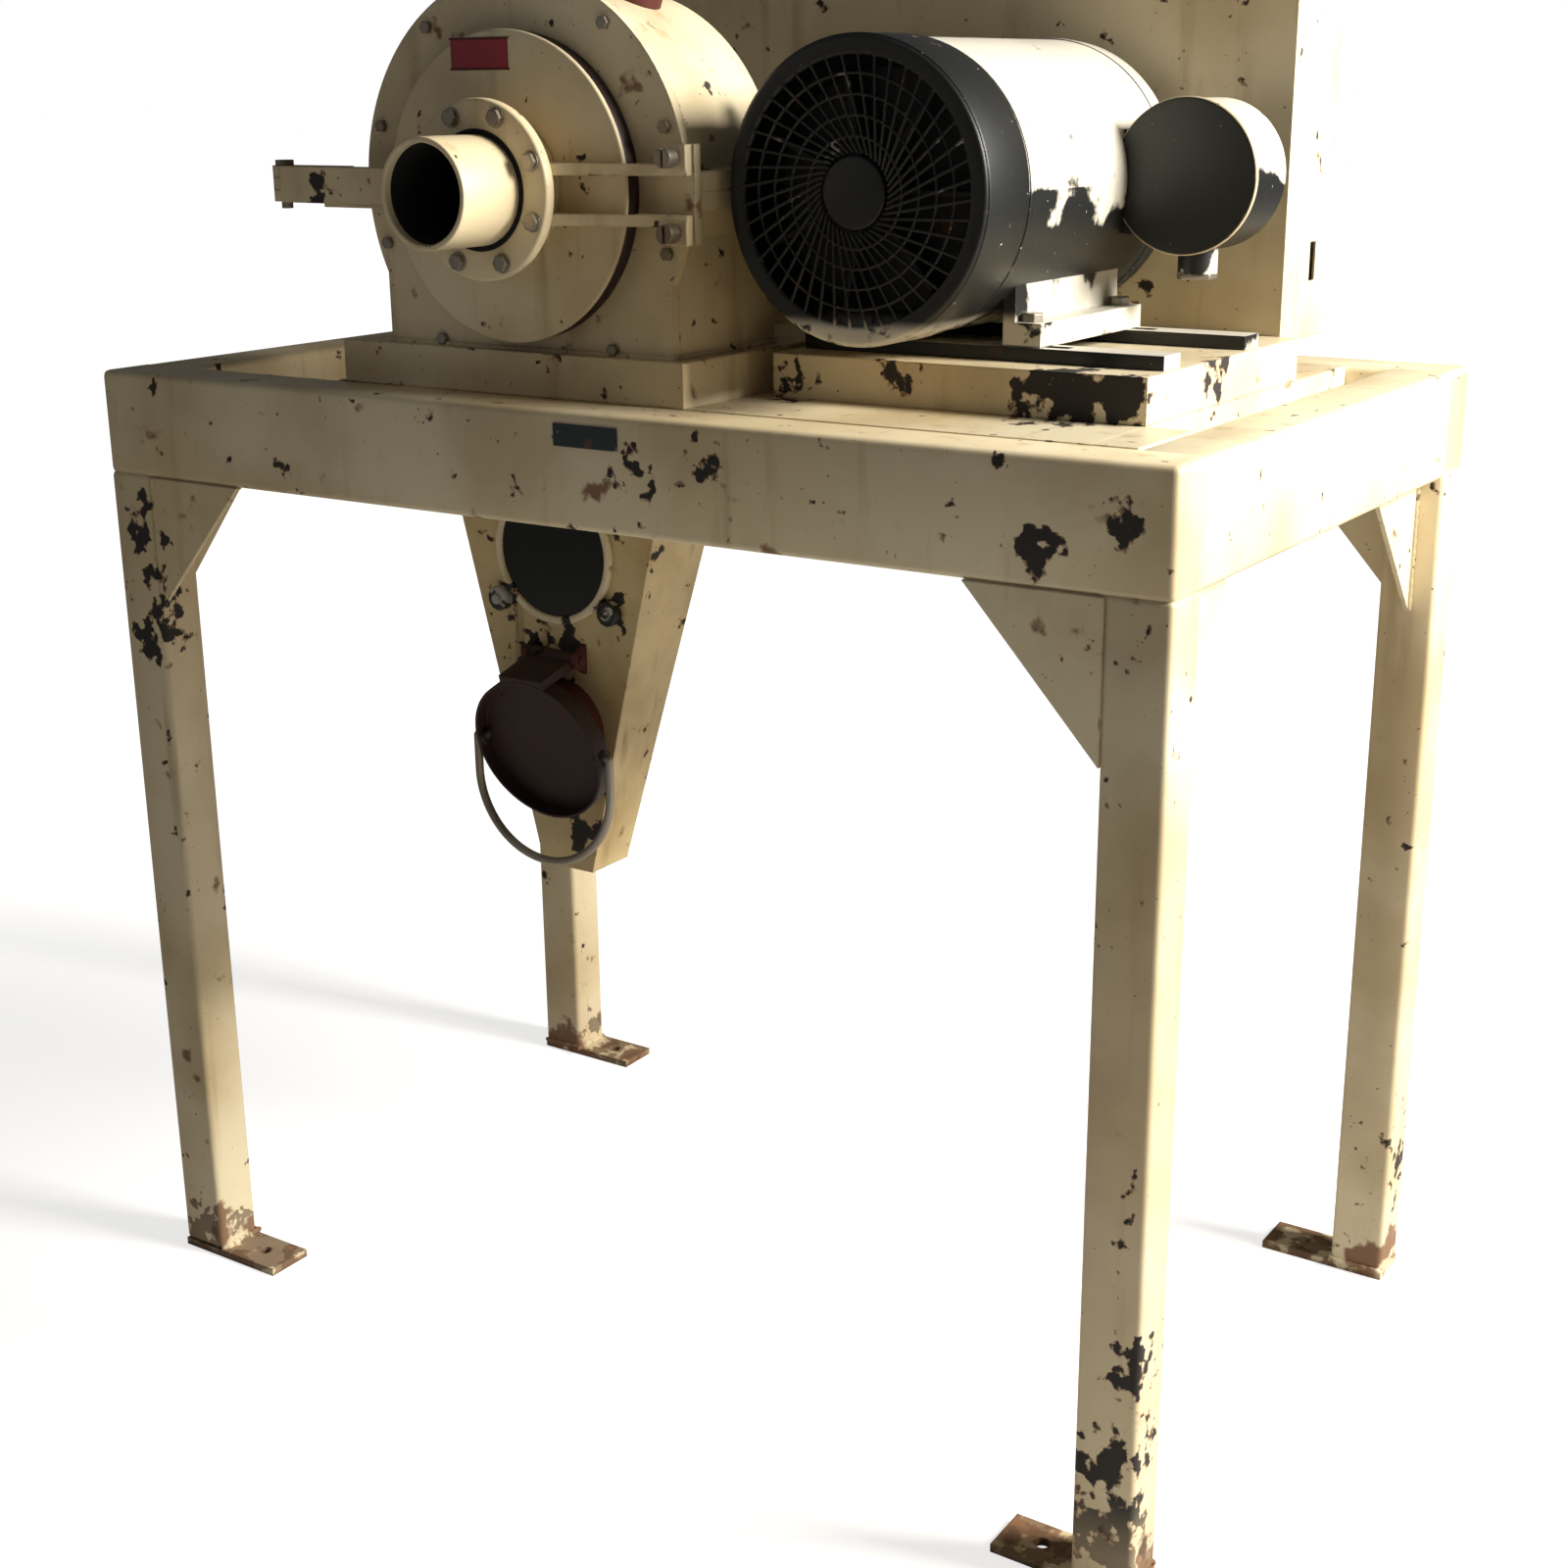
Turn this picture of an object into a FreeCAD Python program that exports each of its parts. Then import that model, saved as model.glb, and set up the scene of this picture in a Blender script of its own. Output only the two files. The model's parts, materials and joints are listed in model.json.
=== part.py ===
"""Belt-driven centrifugal separator on a welded four-leg stand.

Row frame: X to the right, Y to the back, Z up, millimetres.  The origin is on
the floor, in the middle of the four anchor-bolt holes.
"""
import FreeCAD, Part
import math
import os
import re

import Sketcher
from FreeCAD import Placement, Rotation, Vector

# Driving dimensions, in millimetres unless the name says otherwise.
SIZES = {
    # stand
    "frame_length": 1422, "frame_width": 850, "frame_height": 1200,
    "rail_depth": 127, "rail_width": 76, "rail_wall": 5,
    "leg_width": 70, "leg_depth": 64, "leg_wall": 5,
    "foot_thickness": 10, "foot_reach": 95, "anchor_inset": 47, "anchor_radius": 9,
    "gusset_width": 150, "gusset_height": 165, "gusset_thickness": 6,
    "cross_width": 76, "cross_depth": 100, "cross_left": -348, "cross_middle": 138,
    "cross_right": 547, "deck_thickness": 8, "deck_rear": -222,
    "plate_x": 40, "plate_drop": 25, "plate_width": 84, "plate_height": 24, "plate_thickness": 2,
    # sub-bases
    "sub_base_height": 48, "sub_base_top": 10, "sub_base_rim": 8,
    "casing_base_left": -370, "casing_base_right": 115, "casing_base_front": -352,
    "casing_base_rear": 150,
    "motor_base_left": 143, "motor_base_right": 585, "motor_base_front": -222,
    "motor_base_rear": 185,
    # casing
    "rotor_x": -106, "casing_front": -338, "end_plate": 12, "shell_length": 168,
    "shell_radius": 206, "chamber_radius": 194, "front_plate_radius": 222,
    "rear_plate_radius": 206, "casing_foot_half": 200, "door_opening_radius": 150,
    "split_flange_reach": 230, "split_flange_thickness": 20, "shaft_opening_radius": 34,
    "discharge_half": 130, "discharge_wall": 26, "discharge_height": 60,
    "plug_radius": 22, "plug_height": 18, "plug_boss_radius": 28, "plug_boss_height": 14,
    "plug_y": -215, "plug_lean_deg": 20, "ear_left": -400, "ear_half": 22.5,
    "casing_bolt_radius": 4, "casing_bolt_head": 7, "casing_bolt_count": 10,
    "bolt_circle_radius": 206, "bolt_clearance": 0.4,
    # door
    "door_radius": 163, "door_thickness": 6, "seal_outer": 161.5, "seal_inner": 138,
    "seal_thickness": 20, "hub_radius": 72, "hub_length": 31, "inlet_flange_radius": 94,
    "inlet_flange_thickness": 14, "inlet_outer": 57.15, "inlet_wall": 6.05, "inlet_reach": 87,
    "hose_seat_length": 78, "hose_seat_step": 1,
    "flange_bolt_circle": 80, "flange_bolt_count": 8, "flange_bolt_head": 9,
    "bar_thickness": 12, "bar_spread": 51, "bar_drop": -3.5, "bar_reach": 231, "screw_spread": 75,
    "lug_height": 6, "lug_size": 26, "screw_radius": 6, "screw_head": 10,
    "arm_height": 40, "arm_thickness": 12, "hinge_x": -445, "hinge_y": -352,
    "knuckle_radius": 14, "hinge_pin_radius": 6.5, "bracket_thickness": 12, "bracket_pad": 50,
    "label_x": -133, "label_z": 1560, "label_width": 78, "label_height": 30, "label_thickness": 1,
    # rotor
    "rotor_radius": 164, "rotor_disc": 10, "rotor_gap": 8, "blade_length": 132,
    "blade_count": 8, "blade_height": 34, "blade_thickness": 8, "rotor_hub_radius": 45,
    "rotor_hub_length": 50, "shaft_radius": 27.5, "pulley_seat_radius": 22,
    "running_clearance": 0.05,
    # bearings
    "pedestal_front": -120, "pedestal_rear": 150, "pedestal_half": 85, "pedestal_drop": 63.5,
    "pedestal_wall": 10, "bearing_front": -60, "bearing_rear": 100, "housing_width": 46,
    "housing_radius": 50, "housing_foot": 20, "bearing_radius": 36, "bearing_width": 26,
    # belt drive
    "groove_pitch": 19, "groove_count": 3, "groove_width": 13, "groove_depth": 12,
    "pulley_front": 226, "pulley_edge": 11, "driven_radius": 75, "driver_radius": 145,
    "belt_height": 10, "belt_clearance": 0.5,
    "guard_left": -320, "guard_right": 562, "guard_front": 187, "guard_rear": 320,
    "guard_height": 420, "guard_sheet": 3, "guard_foot": 40,
    "guard_slot_y": 276, "guard_slot_z": 86, "guard_slot_radius": 9, "guard_slot_length": 44,
    # motor
    "motor_x": 293, "motor_centre_height": 159, "motor_radius": 150, "motor_wall": 12,
    "motor_rear": -228, "motor_front": 165, "bell_rear": 130, "eye_lean_deg": 52, "eye_y": -196, "motor_boss_radius": 55, "motor_boss_length": 14,
    "motor_rim_radius": 149.7, "motor_rim_length": 16, "foot_spread": 127, "foot_pad": 25,
    "foot_half": 18, "bolt_span": 210, "motor_bolt_front": 62, "motor_bolt_radius": 7,
    "motor_shaft_radius": 20.6, "core_radius": 92, "core_length": 230,
    "fan_shaft_radius": 15, "fan_radius": 122, "fan_hub_radius": 34, "fan_width": 44,
    "fan_blades": 7, "fan_back": -236, "cowl_radius": 153, "cowl_wall": 3, "cowl_face": -300,
    "cowl_slots": 24, "cowl_slot_inner": 42, "cowl_slot_outer": 128, "cowl_slot_width": 7,
    "slide_height": 15, "slide_width": 40, "slide_left": 150, "slide_right": 578, "slide_travel": 35,
    "box_x": 215, "box_front": 30, "box_rear": 110, "box_radius": 80, "box_neck": 55,
    "box_lid": 9, "box_wall": 4, "box_rise": 7,
    "conduit_radius": 13.5, "hub_drop": 24,
    # chute
    "chute_front": -303, "chute_top_half": 187, "chute_top_depth": 131, "chute_bottom_half": 37,
    "chute_bottom_depth": 68, "chute_bottom": 631, "chute_wall": 3,
    "window_height": 1016, "window_radius": 75, "window_ring": 9, "window_depth": 9,
    "knob_radius": 15, "window_bolt_x": 80, "window_bolt_drop": 62,
    "spout_height": 795, "spout_radius": 62, "spout_wall": 3, "spout_stand_off": 28,
    "spout_tilt_deg": 15, "flap_radius": 90, "flap_sheet": 3, "flap_rim": 22,
    "flap_hinge_rise": 91.5, "flap_hinge_back": 41, "flap_knuckle_radius": 10, "flap_pin_radius": 5,
    "flap_lug_spread": 36, "flap_lug": 8, "bail_rod": 5, "bail_radius": 98, "bail_leg": 42,
}

# Dimensions that follow from the driving ones.
DERIVED = {
    "base_top": "frame_height + sub_base_height",
    "axis_z": "frame_height + sub_base_height + slide_height + motor_centre_height",
    "axis_rise": "slide_height + motor_centre_height",
    "shell_front": "casing_front + end_plate",
    "shell_rear": "casing_front + end_plate + shell_length",
    "casing_rear": "casing_front + 2 * end_plate + shell_length",
    "seal_front": "casing_front - seal_thickness",
    "door_front": "casing_front - seal_thickness - door_thickness",
    "hub_front": "door_front - hub_length",
    "flange_front": "door_front - hub_length - inlet_flange_thickness",
    "inlet_front": "door_front - hub_length - inlet_flange_thickness - inlet_reach",
    "pipe_tail_radius": "inlet_outer - hose_seat_step",
    "foot_rest": "frame_height + sub_base_height + slide_height",
    "pulley_length": "2 * pulley_edge + (groove_count - 1) * groove_pitch",
    "pulley_rear": "pulley_front + 2 * pulley_edge + (groove_count - 1) * groove_pitch",
    "anchor_x": "frame_length / 2 - leg_width - foot_reach + anchor_inset",
    "anchor_y": "frame_width / 2 - leg_depth / 2",
    "inner_length": "frame_length - 2 * rail_width",
    "inner_width": "frame_width - 2 * rail_width",
    "rail_bottom": "frame_height - rail_depth",
    "chute_top": "frame_height + sub_base_height - sub_base_top",
    "guard_bottom": "frame_height + guard_foot",
    "rotor_rear": "shell_rear - rotor_gap",
}

WORD = re.compile(r"[a-z][a-z_0-9]*")
NAMES = {**SIZES, **DERIVED}

# Bodies that are written together as one node.
SHARED_NODES = {
    "bearing_front": "bearings", "bearing_rear": "bearings",
    "bearing_housing_front": "bearing_housings", "bearing_housing_rear": "bearing_housings",
    "hinge_bolts": "casing_bolts", "deck_plates": "cross_members", "flap_pin": "chute_spout",
    "rail_left": "side_rails", "rail_right": "side_rails",
}

doc = FreeCAD.newDocument("separator")
sheet = doc.addObject("Spreadsheet::Sheet", "Sizes")
for row, (alias, content) in enumerate(NAMES.items(), 1):
    sheet.set(f"A{row}", alias)
    sheet.set(f"B{row}", str(content) if alias in SIZES else f"={content}")
    sheet.setAlias(f"B{row}", alias)
doc.recompute()


def size(alias):
    """The number that a cell of the sheet holds."""
    return float(sheet.get(alias))


def bind(target, path, formula):
    """Binds a property to a formula written with the sheet's aliases."""
    target.setExpression(path, WORD.sub(lambda m: f"Sizes.{m[0]}" if m[0] in NAMES else m[0], formula))


def place(target, x="0", y="0", z="0"):
    """Binds an object's position."""
    for letter, formula in zip("xyz", (x, y, z)):
        bind(target, f"Placement.Base.{letter}", formula)


def new_body(label):
    body = doc.addObject("PartDesign::Body", label)
    body.Label = label
    return body


def origin_plane(body, role):
    return next(o for o in body.Origin.OriginFeatures if o.Role == role)


def fix_point(sketch, index, point, formulas):
    """Holds a sketch point at the two coordinates that the formulas give."""
    for kind, axis, formula in (("DistanceX", -2, formulas[0]), ("DistanceY", -1, formulas[1])):
        if formula == "0":
            sketch.addConstraint(Sketcher.Constraint("PointOnObject", index, point, axis))
        else:
            number = sketch.addConstraint(Sketcher.Constraint(kind, -1, 1, index, point, 1.0 + index))
            bind(sketch, f"Constraints[{number}]", formula)


def add_outline(sketch, corners):
    """Adds a closed outline of straight lines through the corners."""
    first, count = sketch.GeometryCount, len(corners)
    ring = [Vector(10 * math.cos(2 * math.pi * i / count), 10 * math.sin(2 * math.pi * i / count), 0)
            for i in range(count)]
    for i in range(count):
        sketch.addGeometry(Part.LineSegment(ring[i], ring[(i + 1) % count]))
    for i in range(count):
        sketch.addConstraint(Sketcher.Constraint(
            "Coincident", first + i, 2, first + (i + 1) % count, 1))
    for i, corner in enumerate(corners):
        fix_point(sketch, first + i, 1, corner)


def add_circle(sketch, centre, radius):
    index = sketch.addGeometry(Part.Circle(Vector(1, 1, 0), Vector(0, 0, 1), 5))
    fix_point(sketch, index, 3, centre)
    number = sketch.addConstraint(Sketcher.Constraint("Radius", index, 5.0))
    bind(sketch, f"Constraints[{number}]", radius)


def new_sketch(body, role, start, outlines, circles=()):
    """A sketch on one of the body's planes, moved along the plane's normal by start."""
    sketch = body.newObject("Sketcher::SketchObject", f"{body.Name}_sketch")
    sketch.AttachmentSupport = (origin_plane(body, role), "")
    sketch.MapMode = "FlatFace"
    bind(sketch, "AttachmentOffset.Base.z", start)
    for corners in outlines:
        add_outline(sketch, corners)
    for centre, radius in circles:
        add_circle(sketch, centre, radius)
    doc.recompute()
    return sketch


def sweep_sketch(body, kind, sketch, length):
    feature = body.newObject(f"PartDesign::{kind}", f"{body.Name}_{kind.lower()}")
    feature.Profile = sketch
    feature.Type = 0
    bind(feature, "Length", length)
    if kind == "Pocket":
        feature.Reversed = True
    before = feature.BaseFeature.Shape.Volume if feature.BaseFeature else 0.0
    body.Tip = feature
    doc.recompute()
    changed = feature.Shape.Volume - before
    if abs(changed) < 1e-3 or (changed > 0) == (kind == "Pocket"):
        raise RuntimeError(f"{feature.Name} changes the volume by {changed:.3f}")
    return feature


def add_slab(body, plane, start, length, outlines=(), circles=(), kind="Pad"):
    """Pads, or pockets, a sketch from start over length along +X, +Y or +Z."""
    role = {"X": "YZ_Plane", "Y": "XZ_Plane", "Z": "XY_Plane"}[plane]
    if plane == "Y":
        start = f"-({start}) - ({length})"
    return sweep_sketch(body, kind, new_sketch(body, role, start, outlines, circles), length)


def cut_slab(body, plane, start, length, outlines=(), circles=()):
    return add_slab(body, plane, start, length, outlines, circles, "Pocket")


def turn(body, profile, kind="Revolution"):
    """Revolves a profile of (radius, y) corners about the body's Y axis."""
    sketch = new_sketch(body, "XY_Plane", "0", [profile])
    feature = body.newObject(f"PartDesign::{kind}", f"{body.Name}_{kind.lower()}")
    feature.Profile = sketch
    feature.ReferenceAxis = (sketch, ["V_Axis"])
    feature.Angle = 360
    body.Tip = feature
    doc.recompute()
    return feature


def repeat_round(body, feature, count):
    """Repeats the last feature evenly about the body's Y axis."""
    pattern = body.newObject("PartDesign::PolarPattern", f"{body.Name}_pattern")
    pattern.Originals = [feature]
    axis = next(o for o in body.Origin.OriginFeatures if o.Role == "Y_Axis")
    pattern.Axis = (axis, [""])
    pattern.Angle = 360
    bind(pattern, "Occurrences", count)
    body.Tip = pattern
    doc.recompute()
    return pattern


def rectangle(left, low, right, high):
    return [(left, low), (right, low), (right, high), (left, high)]


def around(half_width, half_height):
    return rectangle(f"-({half_width})", f"-({half_height})", half_width, half_height)


def solid_group(label, shapes):
    """A node of plain shapes, for loose groups and for what a body can't hold."""
    node = doc.addObject("Part::Feature", label)
    node.Label = label
    node.Shape = shapes[0] if len(shapes) == 1 else Part.makeCompound(shapes)
    return node


def box(x0, y0, z0, x1, y1, z1):
    return Part.makeBox(x1 - x0, y1 - y0, z1 - z0, Vector(x0, y0, z0))


def rod(radius, start, end):
    axis = Vector(*end) - Vector(*start)
    return Part.makeCylinder(radius, axis.Length, Vector(*start), axis)


def hexagon(across_corners_radius, start, end):
    """A hexagonal bar between two points."""
    axis = Vector(*end) - Vector(*start)
    ring = Part.makePolygon([Vector(across_corners_radius * math.cos(math.radians(a)),
                                    across_corners_radius * math.sin(math.radians(a)), 0)
                             for a in range(0, 361, 60)])
    bar = Part.Face(ring).extrude(Vector(0, 0, axis.Length))
    bar.Placement = Placement(Vector(*start), Rotation(Vector(0, 0, 1), axis))
    return bar


def bolt(shank, head, seat, under, over):
    """A hexagon-headed bolt: seat is under its head, under its tip and over its head's top."""
    return rod(shank, under, seat).fuse(hexagon(head, seat, over)).removeSplitter()


# ------------------------------------------------------------------ stand
def make_rails():
    half_x, half_y = "frame_length / 2", "frame_width / 2"
    for label, sign in (("rail_front", "-"), ("rail_rear", "")):
        rail = new_body(label)
        outer = [(f"-{half_x}", f"{sign}{half_y}"), (half_x, f"{sign}{half_y}"),
                 ("inner_length / 2", f"{sign}inner_width / 2"),
                 ("-inner_length / 2", f"{sign}inner_width / 2")]
        hollow = [(f"-({half_x} - rail_wall)", f"{sign}({half_y} - rail_wall)"),
                  (f"{half_x} - rail_wall", f"{sign}({half_y} - rail_wall)"),
                  ("inner_length / 2 + rail_wall", f"{sign}(inner_width / 2 + rail_wall)"),
                  ("-(inner_length / 2 + rail_wall)", f"{sign}(inner_width / 2 + rail_wall)")]
        add_slab(rail, "Z", "rail_bottom", "rail_depth", [outer])
        cut_slab(rail, "Z", "rail_bottom + rail_wall", "rail_depth - 2 * rail_wall", [hollow])
    for label, sign in (("rail_left", "-"), ("rail_right", "")):
        rail = new_body(label)
        outer = [(f"{sign}{half_x}", f"-{half_y}"), (f"{sign}{half_x}", half_y),
                 (f"{sign}inner_length / 2", "inner_width / 2"),
                 (f"{sign}inner_length / 2", "-inner_width / 2")]
        hollow = [(f"{sign}({half_x} - rail_wall)", f"-({half_y} - rail_wall)"),
                  (f"{sign}({half_x} - rail_wall)", f"{half_y} - rail_wall"),
                  (f"{sign}(inner_length / 2 + rail_wall)", "inner_width / 2 + rail_wall"),
                  (f"{sign}(inner_length / 2 + rail_wall)", "-(inner_width / 2 + rail_wall)")]
        add_slab(rail, "Z", "rail_bottom", "rail_depth", [outer])
        cut_slab(rail, "Z", "rail_bottom + rail_wall", "rail_depth - 2 * rail_wall", [hollow])


def make_legs():
    for y_name, y_sign in (("front", "-"), ("rear", "")):
        for x_name, x_sign in (("left", "-"), ("right", "")):
            leg = new_body(f"leg_{y_name}_{x_name}")
            add_slab(leg, "Z", "foot_thickness", "rail_bottom - foot_thickness",
                     [around("leg_width / 2", "leg_depth / 2"),
                      around("leg_width / 2 - leg_wall", "leg_depth / 2 - leg_wall")])
            place(leg, f"{x_sign}(frame_length - leg_width) / 2",
                  f"{y_sign}(frame_width - leg_depth) / 2")


def make_gussets():
    """Two triangular plates at the head of each leg."""
    top, drop = size("rail_bottom"), size("gusset_height")
    thick, wide = size("gusset_thickness"), size("gusset_width")
    leg_x = size("frame_length") / 2 - size("leg_width")
    leg_y = size("frame_width") / 2 - size("leg_depth")
    plates = []
    for x_sign in (-1, 1):
        for y_sign in (-1, 1):
            outer = y_sign * size("frame_width") / 2
            ring = [Vector(x_sign * leg_x, outer, top), Vector(x_sign * (leg_x - wide), outer, top),
                    Vector(x_sign * leg_x, outer, top - drop)]
            face = Part.Face(Part.makePolygon(ring + ring[:1]))
            plates.append(face.extrude(Vector(0, -y_sign * thick, 0)))
            middle = x_sign * (leg_x + size("leg_width") / 2) - thick / 2
            ring = [Vector(middle, y_sign * leg_y, top), Vector(middle, y_sign * (leg_y - wide), top),
                    Vector(middle, y_sign * leg_y, top - drop)]
            face = Part.Face(Part.makePolygon(ring + ring[:1]))
            plates.append(face.extrude(Vector(thick, 0, 0)))
    solid_group("gussets", plates)


def make_foot_plates():
    """One plate under each leg, reaching inwards with an anchor hole."""
    half_x, half_y = size("frame_length") / 2, size("frame_width") / 2
    inner = half_x - size("leg_width") - size("foot_reach")
    plates = []
    for x_sign in (-1, 1):
        for y_sign in (-1, 1):
            x_pair = sorted((x_sign * inner, x_sign * half_x))
            y_pair = sorted((y_sign * (half_y - size("leg_depth")), y_sign * half_y))
            plate = box(x_pair[0], y_pair[0], 0, x_pair[1], y_pair[1], size("foot_thickness"))
            centre = (x_sign * size("anchor_x"), y_sign * size("anchor_y"))
            hole = rod(size("anchor_radius"), (*centre, 0), (*centre, size("foot_thickness")))
            plates.append(plate.cut(hole))
    solid_group("foot_plates", plates)


def make_cross_members():
    half_y, top = size("inner_width") / 2, size("frame_height")
    half, wall = size("cross_width") / 2, size("rail_wall")
    tubes = []
    for alias in ("cross_left", "cross_middle", "cross_right"):
        x = size(alias)
        outer = box(x - half, -half_y, top - size("cross_depth"), x + half, half_y, top)
        inner = box(x - half + wall, -half_y, top - size("cross_depth") + wall,
                    x + half - wall, half_y, top - wall)
        tubes.append(outer.cut(inner))
    solid_group("cross_members", tubes)


def make_deck_plates():
    """Infill plates between the cross members, flush with the rails' tops."""
    half, top = size("cross_width") / 2, size("frame_height")
    spans = [(size("cross_middle") + half, size("cross_right") - half),
             (size("cross_right") + half, size("inner_length") / 2)]
    solid_group("deck_plates", [
        box(left, -size("inner_width") / 2, top - size("deck_thickness"), right, size("deck_rear"), top)
        for left, right in spans])


def make_rail_plate():
    plate = new_body("rail_plate")
    add_slab(plate, "Y", "-frame_width / 2 - plate_thickness", "plate_thickness",
             [around("plate_width / 2", "plate_height / 2")])
    place(plate, "plate_x", "0", "frame_height - plate_drop")


def make_sub_base(label, prefix):
    """An upside-down tray of plate."""
    left, right = f"{prefix}_left", f"{prefix}_right"
    front, rear = f"{prefix}_front", f"{prefix}_rear"
    tray = new_body(label)
    add_slab(tray, "Z", "frame_height", "sub_base_height", [rectangle(left, front, right, rear)])
    cut_slab(tray, "Z", "frame_height", "sub_base_height - sub_base_top", [rectangle(
        f"{left} + sub_base_rim", f"{front} + sub_base_rim",
        f"{right} - sub_base_rim", f"{rear} - sub_base_rim")])
    return tray


def make_sub_bases():
    tray = make_sub_base("casing_sub_base", "casing_base")
    cut_slab(tray, "Z", "base_top - sub_base_top", "sub_base_top", [rectangle(
        "rotor_x - discharge_half", "shell_front + discharge_wall",
        "rotor_x + discharge_half", "shell_rear - discharge_wall")])
    make_sub_base("motor_sub_base", "motor_base")


# ----------------------------------------------------------------- casing
def make_end_plates():
    for label, start, radius, hole in (
            ("casing_front_plate", "casing_front", "front_plate_radius", "door_opening_radius"),
            ("casing_rear_plate", "shell_rear", "rear_plate_radius", "shaft_opening_radius")):
        plate = new_body(label)
        add_slab(plate, "Y", start, "end_plate", [], [(("0", "0"), radius)])
        add_slab(plate, "Y", start, "end_plate",
                 [rectangle("-casing_foot_half", "-axis_rise", "casing_foot_half", "0")])
        cut_slab(plate, "Y", start, "end_plate", [rectangle(
            f"-{radius} - 1", f"-{radius} - 1", f"{radius} + 1", "-axis_rise")])
        cut_slab(plate, "Y", start, "end_plate", [], [(("0", "0"), hole)])
        if label == "casing_front_plate":
            bolt_hole = cut_slab(plate, "Y", start, "end_plate", [], [
                (("bolt_circle_radius * cos(18 deg)", "bolt_circle_radius * sin(18 deg)"),
                 "casing_bolt_radius + bolt_clearance")])
            repeat_round(plate, bolt_hole, "casing_bolt_count")
            add_slab(plate, "Y", start, "end_plate", [rectangle(
                "ear_left - rotor_x", "-ear_half - 4", "-door_opening_radius - 20", "ear_half - 4")])
            add_slab(plate, "Y", start, "end_plate", [rectangle(
                "door_opening_radius + 20", "bar_drop - screw_spread / 2 - lug_size / 2",
                "bar_reach", "bar_drop + screw_spread / 2 + lug_size / 2")])
        place(plate, "rotor_x", "0", "axis_z")


def make_shells():
    """The casing's upper and lower halves, bolted together at the shaft's height."""
    for label, sign in (("casing_upper", 1), ("casing_lower", -1)):
        shell = new_body(label)
        add_slab(shell, "Y", "shell_front", "shell_length", [], [(("0", "0"), "shell_radius")])
        if sign < 0:
            add_slab(shell, "Y", "shell_front", "shell_length",
                     [rectangle("-casing_foot_half", "-axis_rise", "casing_foot_half", "0")])
            cut_slab(shell, "Y", "shell_front", "shell_length",
                     [rectangle("-shell_radius - 1", "0", "shell_radius + 1", "shell_radius + 1")])
            cut_slab(shell, "Y", "shell_front", "shell_length", [rectangle(
                "-shell_radius - 1", "-shell_radius - 1", "shell_radius + 1", "-axis_rise")])
            flange = ("-split_flange_thickness", "0")
        else:
            cut_slab(shell, "Y", "shell_front", "shell_length",
                     [rectangle("-shell_radius - 1", "-shell_radius - 1", "shell_radius + 1", "0")])
            flange = ("0", "split_flange_thickness")
        add_slab(shell, "Y", "shell_front", "shell_length",
                 [rectangle("-split_flange_reach", flange[0], "split_flange_reach", flange[1])])
        cut_slab(shell, "Y", "shell_front", "shell_length", [], [(("0", "0"), "chamber_radius")])
        if sign < 0:
            cut_slab(shell, "Y", "shell_front + discharge_wall", "shell_length - 2 * discharge_wall",
                     [rectangle("-discharge_half", "-axis_rise", "discharge_half",
                                "-axis_rise + discharge_height")])
        low, high = flange
        for side in ("", "-"):
            for place_y in ("shell_front + 24", "shell_front + shell_length / 2", "shell_rear - 24"):
                cut_slab(shell, "Z", low, f"({high}) - ({low})", [], [
                    ((f"{side}(shell_radius + split_flange_reach) / 2", place_y),
                     "casing_bolt_radius + bolt_clearance")])
        place(shell, "rotor_x", "0", "axis_z")


def make_casing_bolts():
    """Front-plate screws and the bolts along the split flanges."""
    bolts = []
    x0, z0, front = size("rotor_x"), size("axis_z"), size("casing_front")
    shank, head = size("casing_bolt_radius"), size("casing_bolt_head")
    count = int(size("casing_bolt_count"))
    for i in range(count):
        angle = math.radians(18 + 360 * i / count)
        x = x0 + size("bolt_circle_radius") * math.cos(angle)
        z = z0 + size("bolt_circle_radius") * math.sin(angle)
        if z - head < size("base_top"):
            continue
        bolts.append(bolt(shank, head, (x, front, z), (x, front + size("end_plate"), z),
                          (x, front - 6, z)))
    reach = (size("shell_radius") + size("split_flange_reach")) / 2
    thick = size("split_flange_thickness")
    middle = size("shell_front") + size("shell_length") / 2
    for x in (x0 - reach, x0 + reach):
        for y in (size("shell_front") + 24, middle, size("shell_rear") - 24):
            bolts.append(bolt(shank, head, (x, y, z0 + thick), (x, y, z0 - thick),
                              (x, y, z0 + thick + 6)))
    solid_group("casing_bolts", bolts)


def make_casing_plug():
    """Hexagonal plug on a round boss, leaning to the right of the shell's top."""
    lean = math.radians(size("plug_lean_deg"))
    out = Vector(math.sin(lean), 0, math.cos(lean))
    foot = Vector(size("rotor_x"), size("plug_y"), size("axis_z"))

    def at(radius):
        return tuple(foot + out * radius)

    seat, top = size("shell_radius"), size("shell_radius") + size("plug_boss_height")
    plug = rod(size("plug_boss_radius"), at(seat - 12), at(top))
    plug = plug.fuse(hexagon(size("plug_radius"), at(top), at(top + size("plug_height"))))
    plug = plug.cut(rod(seat, (foot.x, foot.y - 60, foot.z), (foot.x, foot.y + 60, foot.z)))
    solid_group("casing_plug", [plug.removeSplitter()])


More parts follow.
